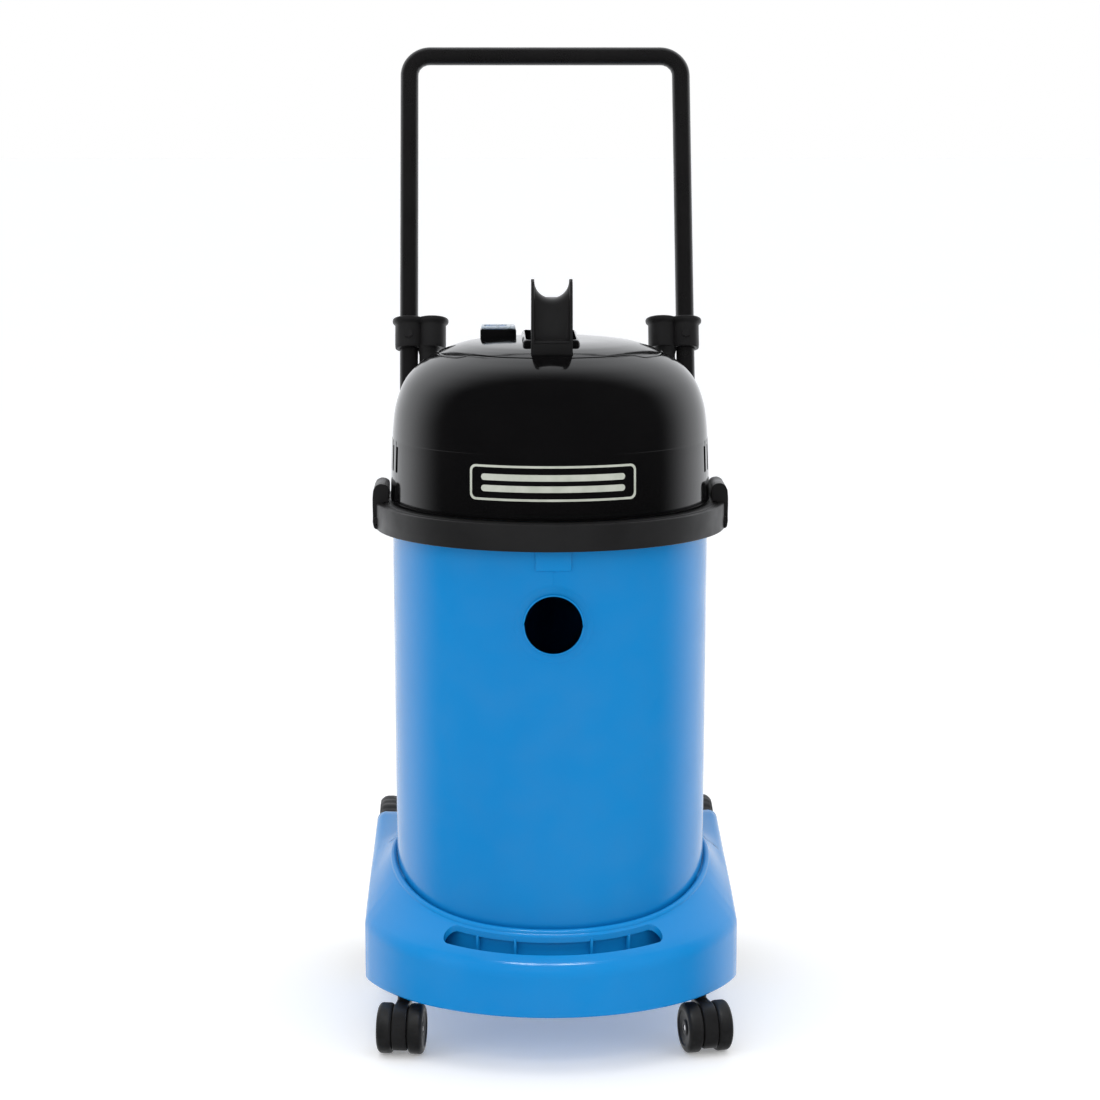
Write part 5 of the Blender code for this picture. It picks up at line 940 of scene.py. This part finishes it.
switchHole = brick((housingLow.x - 0.0003, housingLow.y - axisY - 0.0003, capHigh.z - 0.025),
                   (housingHigh.x + 0.0003, housingHigh.y - axisY + 0.0003, capHigh.z + 0.010))
cap = combined(cap, "DIFFERENCE", trough, *feet, switchHole)
finishPiece("cap_shell", cap, "head", "head_moulding", ["head_cap"], sharp=32)

# an unlettered badge: a pale rim and two pale bars on black
def skirtPlate(lowZ, highZ, startX, endX, corner, stand, thick):
    plate = brick((startX, -0.0005, lowZ), (endX, 0.0005, highZ))
    upright = [edge for edge in plate.edges if abs(edge.verts[0].co.y - edge.verts[1].co.y) > 0.0005]
    bmesh.ops.bevel(plate, geom=upright, offset=corner, affect="EDGES", segments=5, profile=0.5, material=-1)
    step = (endX - startX) / 24
    for k in range(1, 24):
        bmesh.ops.bisect_plane(plate, geom=plate.verts[:] + plate.edges[:] + plate.faces[:], plane_co=(startX + step * k, 0, 0), plane_no=(1, 0, 0))
    for vert in plate.verts:
        side = readOff(vert.co.z, ((skirtLow.z, head["skirtRadius"]), (skirtHigh.z - 0.012, skirtTopRadius + 0.0004), (skirtHigh.z, skirtTopRadius)))
        reach = side + stand + (thick if vert.co.y < 0 else -0.0006)
        angle = vert.co.x / side
        vert.co = fromFront(reach, angle, vert.co.z)
    bmesh.ops.recalc_face_normals(plate, faces=plate.faces)
    return plate


halfBadge, lowBadge, highBadge = head["badgeHalf"], head["badgeLow"], head["badgeHigh"]
finishPiece("badge_field", skirtPlate(lowBadge, highBadge, -halfBadge, halfBadge, 0.006, 0.0, 0.0003), "head", "head_moulding")
rim = skirtPlate(lowBadge, highBadge, -halfBadge, halfBadge, 0.006, 0.0002, 0.0004)
window = skirtPlate(lowBadge + 0.0022, highBadge - 0.0022, -halfBadge + 0.0022, halfBadge - 0.0022, 0.0045, -0.002, 0.006)
rim = combined(rim, "DIFFERENCE", window)
bars = [skirtPlate(z, z + 0.0062, -halfBadge + 0.012, halfBadge - 0.012, 0.0030, 0.0002, 0.0004) for z in (lowBadge + 0.0085, highBadge - 0.0147)]
finishPiece("badge_print", gathered(rim, *bars), "head", badgePrint)
print("head casings shaped")


horn = dict(width=0.040, post=0.034, side=0.0026, web=0.010, notch=0.0168, drop=0.0028, flare=0.0052, gripTop=0.735, gripThick=0.018, gripWidth=0.026,
            foot=0.6855, tip=hornHigh.z)

half = horn["width"] / 2
start, end = hornY
postEnd, rearStart = start + horn["post"], end - horn["post"]
# side outlines are drawn in (y, z) and stood up across the machine
stand = Matrix(((0, 0, 1, -half), (1, 0, 0, 0), (0, 1, 0, 0), (0, 0, 0, 1)))
frontSide = eased([(start + 0.004, horn["foot"]), (postEnd, horn["foot"]), (postEnd, horn["gripTop"] - 0.002), (start + 0.0200, horn["tip"] - 0.0010),
                   (start + 0.0110, horn["tip"]), (start + 0.0050, horn["tip"] - 0.0060), (start + 0.0012, capHigh.z + 0.030), (start, capHigh.z)],
                  0.006, True, 5)
rearSide = eased([(rearStart, horn["foot"]), (end - 0.002, horn["foot"]), (end, capHigh.z), (end - 0.007, horn["gripTop"] - 0.007),
                  (rearStart + 0.010, horn["gripTop"] - 0.003), (rearStart, horn["gripTop"] - 0.002)], 0.005, True, 5)
frontPost = turnTo(slab(frontSide, horn["width"]), stand)
rearPost = turnTo(slab(rearSide, horn["width"] - 0.006), stand, Matrix.Translation((0.003, 0, 0)))
bmesh.ops.recalc_face_normals(frontPost, faces=frontPost.faces)
bmesh.ops.recalc_face_normals(rearPost, faces=rearPost.faces)
grip = brick((-horn["gripWidth"] / 2, postEnd - 0.008, horn["gripTop"] - horn["gripThick"]),
             (horn["gripWidth"] / 2, rearStart + 0.008, horn["gripTop"]), 0.0065, 5)
handle = combined(frontPost, "UNION", rearPost, grip)
# the open channel in front leaves two thin cheeks and a web behind them
innerHalf = half - horn["side"]
channel = brick((-innerHalf, start - 0.010, capHigh.z - 0.0045), (innerHalf, start + horn["web"], horn["tip"] + 0.012))
cornerEdges = [edge for edge in channel.edges if all(v.co.y > start and abs(v.co.x) > innerHalf * 0.9 for v in edge.verts)]
bmesh.ops.bevel(channel, geom=cornerEdges, offset=0.0045, affect="EDGES", segments=5, profile=0.5, material=-1)
# the notch over the web is a saddle that flares out at its mouth
flareLine = [(0.0, 0.100), (horn["notch"], 0.100), (horn["notch"], -start - horn["web"] - 0.0100)]
for k in range(1, 9):
    turn = math.radians(90 * k / 8)
    flareLine.append((horn["notch"] + 0.0105 * (1 - math.cos(turn)), -start - horn["web"] - 0.0100 + 0.0115 * math.sin(turn)))
flareLine += [(0.0, flareLine[-1][1])]
flareLine[0] = (0.0, -postEnd - 0.010)
flareLine[1] = (horn["notch"], -postEnd - 0.010)
saddle = turnTo(spun(flareLine, 64), Matrix.Rotation(math.radians(90), 4, "X"), Matrix.Translation((0, 0, horn["tip"] - horn["drop"])))
mouthCut = roundBar((0, start - 0.010, horn["tip"] - horn["drop"]), (0, start + horn["web"] - 0.0010, horn["tip"] - horn["drop"]), horn["notch"] + 0.0002, 64)
handle = combined(handle, "DIFFERENCE", channel, saddle, mouthCut)
ledge = brick((-innerHalf - 0.001, start + 0.0018, capHigh.z - 0.0046), (innerHalf + 0.001, start + horn["web"] + 0.001, capHigh.z - 0.0016), 0.0008)
finishPiece("carry_grip", gathered(handle, ledge), "head", "black_moulding", ["carry_handle"], sharp=34, bevel=0.0009)
print("carry handle shaped")


rockerLow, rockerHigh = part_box("switch_rocker")
rockerX = (rockerLow.x + rockerHigh.x) / 2
windowHalf = ((rockerHigh.x - rockerLow.x) / 2 + 0.0018, (rockerHigh.y - rockerLow.y) / 2 + 0.0018)
cover = brick((switchLow.x, boot[1] - seatHalf[1] + 0.001, switchLow.z), (switchHigh.x, boot[1] + seatHalf[1] - 0.001, switchHigh.z), 0.0022, 4)
coverWindow = brick((rockerX - windowHalf[0], boot[1] - windowHalf[1], switchLow.z - 0.01), (rockerX + windowHalf[0], boot[1] + windowHalf[1], switchHigh.z + 0.01))
finishPiece("switch_boot", combined(cover, "DIFFERENCE", coverWindow), "head", "clear_silicone", ["switch_cover"], bevel=0.0005)
housing = brick((housingLow.x, housingLow.y - axisY, housingLow.z), (housingHigh.x, housingHigh.y - axisY, housingHigh.z), 0.0006)
pocket = brick((rockerX - windowHalf[0] + 0.001, boot[1] - windowHalf[1] + 0.001, housingHigh.z - 0.0098),
               (rockerX + windowHalf[0] - 0.001, boot[1] + windowHalf[1] - 0.001, housingHigh.z + 0.01))
tabs = [brick((boot[0] + x - 0.002, boot[1] - 0.0035, housingLow.z - 0.006), (boot[0] + x + 0.002, boot[1] + 0.0035, housingLow.z + 0.001), 0.0003)
        for x in (-0.009, 0.0, 0.009)]
finishPiece("switch_body", gathered(combined(housing, "DIFFERENCE", pocket), *tabs), "head", "black_moulding", ["switch_housing"])
pivotZ = rockerHigh.z - 0.0052
halfLength = (rockerHigh.x - rockerLow.x) / 2
side = [(-halfLength * 0.72, -0.0042), (halfLength * 0.72, -0.0042), (halfLength, 0.0024), (halfLength * 0.96, 0.0052),
        (halfLength * 0.5, 0.0042), (0, 0.0036), (-halfLength * 0.5, 0.0042), (-halfLength * 0.96, 0.0052), (-halfLength, 0.0024)]
rocker = slab(eased(side, 0.0012, True), rockerHigh.y - rockerLow.y)
rocker = turnTo(rocker, Matrix.Rotation(math.radians(90), 4, "X"), Matrix.Translation((rockerX, rockerHigh.y - axisY, pivotZ)))
marks = [brick((rockerX + x - 0.0006, boot[1] - w, pivotZ + 0.0040), (rockerX + x + 0.0006, boot[1] + w, pivotZ + 0.0049), 0.0002)
         for x, w in ((-0.0062, 0.0030), (0.0060, 0.0030))]
finishPiece("rocker_key", gathered(rocker, *marks), "switch", "switch_blue", ["switch_rocker"], bevel=0.0005)
print("switch shaped")


push = dict(radius=0.0095, x=0.144, y=0.108, bottom=tubeLow.z, knee=0.600, top=tubeHigh.z - 0.0095, lean=20.0, kneeBend=0.080, cornerBend=0.022)
leanTan = math.tan(math.radians(push["lean"]))
topY = push["y"] + (push["top"] - push["knee"]) * leanTan


def bend(corner, before, after, radius, count):
    arrive, leave = (corner - before).normalized(), (after - corner).normalized()
    turn = arrive.angle(leave)
    centre = corner + (leave - arrive).normalized() * (radius / math.cos(turn / 2))
    first = corner - arrive * radius * math.tan(turn / 2) - centre
    return [centre + Matrix.Rotation(turn * i / (count - 1), 3, arrive.cross(leave).normalized()) @ first for i in range(count)]


foot = Vector((push["x"], push["y"], push["bottom"]))
knee = Vector((push["x"], push["y"], push["knee"]))
corner = Vector((push["x"], topY, push["top"]))
middle = Vector((0, topY, push["top"]))
kneeArc = bend(knee, foot, corner, push["kneeBend"], 12)
cornerArc = bend(corner, knee, middle, push["cornerBend"], 20)
route = [foot.lerp(kneeArc[0], t) for t in (0, 0.5)] + kneeArc + [kneeArc[-1].lerp(cornerArc[0], t) for t in (0.25, 0.5, 0.75)]
route += cornerArc + [cornerArc[-1].lerp(middle, t) for t in (0.33, 0.66)]
route += [middle] + [Vector((-p.x, p.y, p.z)) for p in reversed(route)]
sections = []
side = Vector((0, 1, 0))
for i, point in enumerate(route):
    along = (route[min(i + 1, len(route) - 1)] - route[max(i - 1, 0)]).normalized()
    side = (side - along * side.dot(along)).normalized()
    other = along.cross(side)
    ring = []
    for k in range(28):
        turn = 2 * math.pi * k / 28
        direction = side * math.cos(turn) + other * math.sin(turn)
        reach = push["radius"]
        near = (Vector((abs(point.x), point.y, point.z)) - corner).length
        inward = direction.dot(Vector((-math.copysign(1, point.x), 0, -1)).normalized())
        if near < 0.026 and inward > 0.2:          # the press leaves small creases inside each corner
            reach -= 0.00055 * (0.5 + 0.5 * math.cos(near * 1150)) * inward * (1 - near / 0.026)
        ring.append(tuple(point + direction * reach))
    sections.append(ring)
tube = skinned(sections)
frameHoles = [roundBar((s * push["x"], push["y"] - 0.02, 0.150), (s * push["x"], push["y"] + 0.02, 0.150), 0.0033, 20) for s in (-1, 1)]
finishPiece("push_tube", combined(tube, "DIFFERENCE", *frameHoles), "base", "coated_tube", ["handle_frame"], sharp=50)

holder = dict(top=0.705, length=0.032, radius=0.0145, lip=0.0172, lipHeight=0.0055, cupOffset=0.024, cupBore=0.0118, tubeBore=0.0101,
              sleeveOffset=0.0205, sleeveRadius=0.0098, sleeveBore=0.0070, sleeveLength=0.055)
length, lipStart = holder["length"], holder["length"] - holder["lipHeight"]
share = (holder["top"] - push["knee"]) / math.cos(math.radians(push["lean"])) - length
for side, name in ((-1, "left"), (1, "right")):
    base0 = Vector((side * push["x"], push["y"], push["knee"])) + Vector((0, math.sin(math.radians(push["lean"])), math.cos(math.radians(push["lean"])))) * share
    lean = Matrix.Translation(base0) @ Matrix.Rotation(-math.radians(push["lean"]), 4, "X")
    outer = [(holder["radius"] - 0.0004, 0.0), (holder["radius"], 0.004), (holder["radius"], lipStart - 0.0012), (holder["lip"] - 0.0003, lipStart + 0.0012),
             (holder["lip"], lipStart + 0.0026), (holder["lip"], length - 0.0012), (holder["lip"] - 0.0008, length)]
    collar = [(0.0, 0.0)] + outer + [(0.0, length)]
    cup = [(0.0, 0.0)] + outer + [(0.0, length)]
    bodyShape = combined(spun(eased(collar, 0.0010), 56), "UNION",
                         turnTo(spun(eased(cup, 0.0010), 56), Matrix.Rotation(0.03, 4, "Z"), Matrix.Translation((-side * holder["cupOffset"], 0, 0))),
                         turnTo(spun(eased([(0.0, -holder["sleeveLength"]), (holder["sleeveRadius"], -holder["sleeveLength"]), (holder["sleeveRadius"], -0.006),
                                            (holder["radius"] - 0.002, 0.002), (0.0, 0.002)], 0.0012), 44),
                                Matrix.Translation((-side * holder["sleeveOffset"], 0, 0))))
    bores = [roundBar((0, 0, -0.01), (0, 0, length + 0.01), holder["tubeBore"], 48),
             roundBar((-side * holder["cupOffset"], 0, 0.004), (-side * holder["cupOffset"], 0, length + 0.01), holder["cupBore"], 48),
             roundBar((-side * holder["sleeveOffset"], 0, -holder["sleeveLength"] - 0.01), (-side * holder["sleeveOffset"], 0, 0.01), holder["sleeveBore"], 40)]
    bodyShape = combined(bodyShape, "DIFFERENCE", *bores)
    # a clamp screw boss on the front of the collar
    boss = roundBar((0, -holder["radius"] + 0.001, 0.013), (0, -holder["radius"] - 0.0016, 0.013), 0.0040, 28)
    finishPiece("tool_cup_" + name, turnTo(gathered(bodyShape, boss), lean), "base", "black_moulding", ["tool_holder_" + name], sharp=34)
print("push handle shaped")


wheel = dict(radius=0.090, width=0.022, x=0.169, y=0.198, z=0.090, tyre=0.012, axle=0.005, treads=44, spokes=9)
halfWheel = wheel["width"] / 2
rimR = wheel["radius"] - wheel["tyre"]
for side, name in ((-1, "left"), (1, "right")):
    toWheel = Matrix.Translation((side * wheel["x"], wheel["y"], wheel["z"])) @ Matrix.Rotation(math.radians(90), 4, "Y")
    steps = wheel["treads"] * 5
    profile = eased([(rimR, -halfWheel + 0.0006), (rimR + 0.003, -halfWheel), (wheel["radius"] - 0.0045, -halfWheel), (wheel["radius"] - 0.0008, -halfWheel + 0.0042),
                     (wheel["radius"], -halfWheel + 0.0080), (wheel["radius"], halfWheel - 0.0080), (wheel["radius"] - 0.0008, halfWheel - 0.0042),
                     (wheel["radius"] - 0.0045, halfWheel), (rimR + 0.003, halfWheel), (rimR, halfWheel - 0.0006)], 0.0012, True, 2)
    tyre = spun(profile, steps, True)
    for vert in tyre.verts:
        reach = math.hypot(vert.co.x, vert.co.y)
        turn = math.atan2(vert.co.y, vert.co.x) / (2 * math.pi) * wheel["treads"]
        if reach > wheel["radius"] - 0.0040 and (turn % 1) < 0.30 and abs(vert.co.z) > 0.0022:
            vert.co.x *= (reach - 0.0009) / reach
            vert.co.y *= (reach - 0.0009) / reach
    finishPiece("tyre_" + name, turnTo(tyre, toWheel), name + "_rear_wheel", "tyre", ["rear_tyre_" + name], sharp=30)
    bore = wheel["axle"] + 0.0004
    outer = rimR - 0.0003
    profile = eased([(bore, -halfWheel), (0.0165, -halfWheel), (0.0180, -halfWheel * 0.35), (outer - 0.0085, -halfWheel * 0.30), (outer - 0.0065, -halfWheel + 0.002),
                     (outer, -halfWheel + 0.0018), (outer, halfWheel - 0.0018), (outer - 0.0065, halfWheel - 0.002), (outer - 0.0085, halfWheel * 0.22),
                     (0.0180, halfWheel * 0.25), (0.0165, halfWheel), (bore, halfWheel)], 0.0012, True, 3)
    rim = spun(profile, 84, True)
    spokes = []
    for k in range(wheel["spokes"]):
        for face in (-1, 1):
            spoke = brick((0.0150, -0.0022, min(0, face * (halfWheel - 0.0028))), (outer - 0.0060, 0.0022, max(0, face * (halfWheel - 0.0028))), 0.0009, 2)
            spokes.append(turnTo(spoke, Matrix.Rotation(2 * math.pi * k / wheel["spokes"], 4, "Z")))
    finishPiece("rim_" + name, turnTo(gathered(rim, *spokes), toWheel), name + "_rear_wheel", "grey_moulding", ["rear_wheel_rim_" + name], sharp=34)
    reach = wheel["x"] + halfWheel + 0.0003
    capShape = [(0, reach + 0.0043), (0.0053, reach + 0.0043), (0.0053, reach), (0.0120, reach), (0.0118, reach + 0.0022), (0.0108, reach + 0.0040),
                (0.0080, reach + 0.0054), (0.0040, reach + 0.0060), (0, reach + 0.0060)]
    capShape = turnTo(spun(capShape, 48), Matrix.Rotation(side * math.radians(90), 4, "Y"), Matrix.Translation((0, wheel["y"], wheel["z"])))
    finishPiece("hub_cap_" + name, capShape, "base", "black_moulding", ["axle_cap_" + name])
axle = roundBar((-0.184, wheel["y"], wheel["z"]), (0.184, wheel["y"], wheel["z"]), wheel["axle"], 40, 0.0006)
finishPiece("axle_bar", axle, "base", "steel", ["rear_axle"])
print("rear wheels shaped")


castor = dict(x=0.147, y=-0.105, radius=0.025, wheelWidth=0.015, hood=0.0145, trail=0.020, yaw=(-7.0, 13.0), stem=0.005, neckTop=0.0562)
for side, name, yaw in ((-1, "left", castor["yaw"][0]), (1, "right", castor["yaw"][1])):
    swivel = Matrix.Translation((side * castor["x"], castor["y"], 0)) @ Matrix.Rotation(math.radians(yaw), 4, "Z")
    half, trail, radius = castor["hood"] / 2, -castor["trail"], castor["radius"]
    body = name + "_castor"
    acrossX = Matrix.Translation((0, trail, radius)) @ Matrix.Rotation(math.radians(90), 4, "Y")
    hood = spun(eased([(0.0, -half), (radius - 0.0016, -half), (radius - 0.0006, -half + 0.0010), (radius - 0.0006, half - 0.0010), (radius - 0.0016, half),
                       (0.0, half)], 0.0006), 72)
    hood = turnTo(hood, acrossX)
    neck = roundBar((0, 0, radius + 0.010), (0, 0, castor["neckTop"]), half - 0.0003, 40)
    bridge = brick((-half, trail - 0.004, radius + 0.008), (half, 0.0062, radius * 2 - 0.0010), 0.0020, 3)
    lowerCut = brick((-0.020, trail - 0.030, -0.004), (0.020, trail + 0.030, 0.0075), 0.0)
    hood = combined(hood, "UNION", neck, bridge)
    stemBore = roundBar((0, 0, radius * 2 - 0.0083), (0, 0, castor["neckTop"] + 0.01), castor["stem"] + 0.0003, 32)
    axleBore = roundBar((-0.03, trail, radius), (0.03, trail, radius), 0.0033, 28)
    hood = combined(hood, "DIFFERENCE", stemBore, axleBore, lowerCut)
    finishPiece("castor_hood_" + name, turnTo(hood, swivel), body, "black_moulding", ["castor_fork_" + name], sharp=34, bevel=0.0006)
    stem = roundBar((0, 0, radius * 2 - 0.008), (0, 0, 0.096), castor["stem"] - 0.0004, 32, 0.0006)
    finishPiece("castor_pin_" + name, turnTo(stem, swivel), body, "steel", ["castor_stem_" + name])
    inner = half + 0.0006
    outer = inner + castor["wheelWidth"]
    rod = roundBar((-outer + 0.0015, trail, radius), (outer - 0.0015, trail, radius), 0.003, 28, 0.0004)
    finishPiece("castor_bar_" + name, turnTo(rod, swivel), body, "steel", ["castor_axle_" + name])
    for end in (-1, 1):
        nodeName = "castor_wheel_" + name + "_" + ("outer" if end == side else "inner")
        bore = 0.0034
        rolled = eased([(bore, inner), (radius - 0.0022, inner), (radius - 0.0004, inner + 0.0018), (radius, inner + 0.0034), (radius, outer - 0.0034),
                        (radius - 0.0010, outer - 0.0016), (radius - 0.0036, outer), (radius - 0.0070, outer), (radius - 0.0080, outer - 0.0012),
                        (0.0085, outer - 0.0030), (0.0070, outer - 0.0012), (bore, outer - 0.0010)], 0.0010, True, 3)
        rolled = turnTo(spun(rolled, 72, True), Matrix.Rotation(math.radians(90 * end), 4, "Y"), Matrix.Translation((0, trail, radius)))
        roller = finishPiece("castor_roller_" + name + ("_outer" if end == side else "_inner"), turnTo(rolled, swivel),
                             body + ("_outer_wheel" if end == side else "_inner_wheel"), "tyre", [nodeName], sharp=34)
        shinyOnes.objects.link(roller)
print("castors shaped")
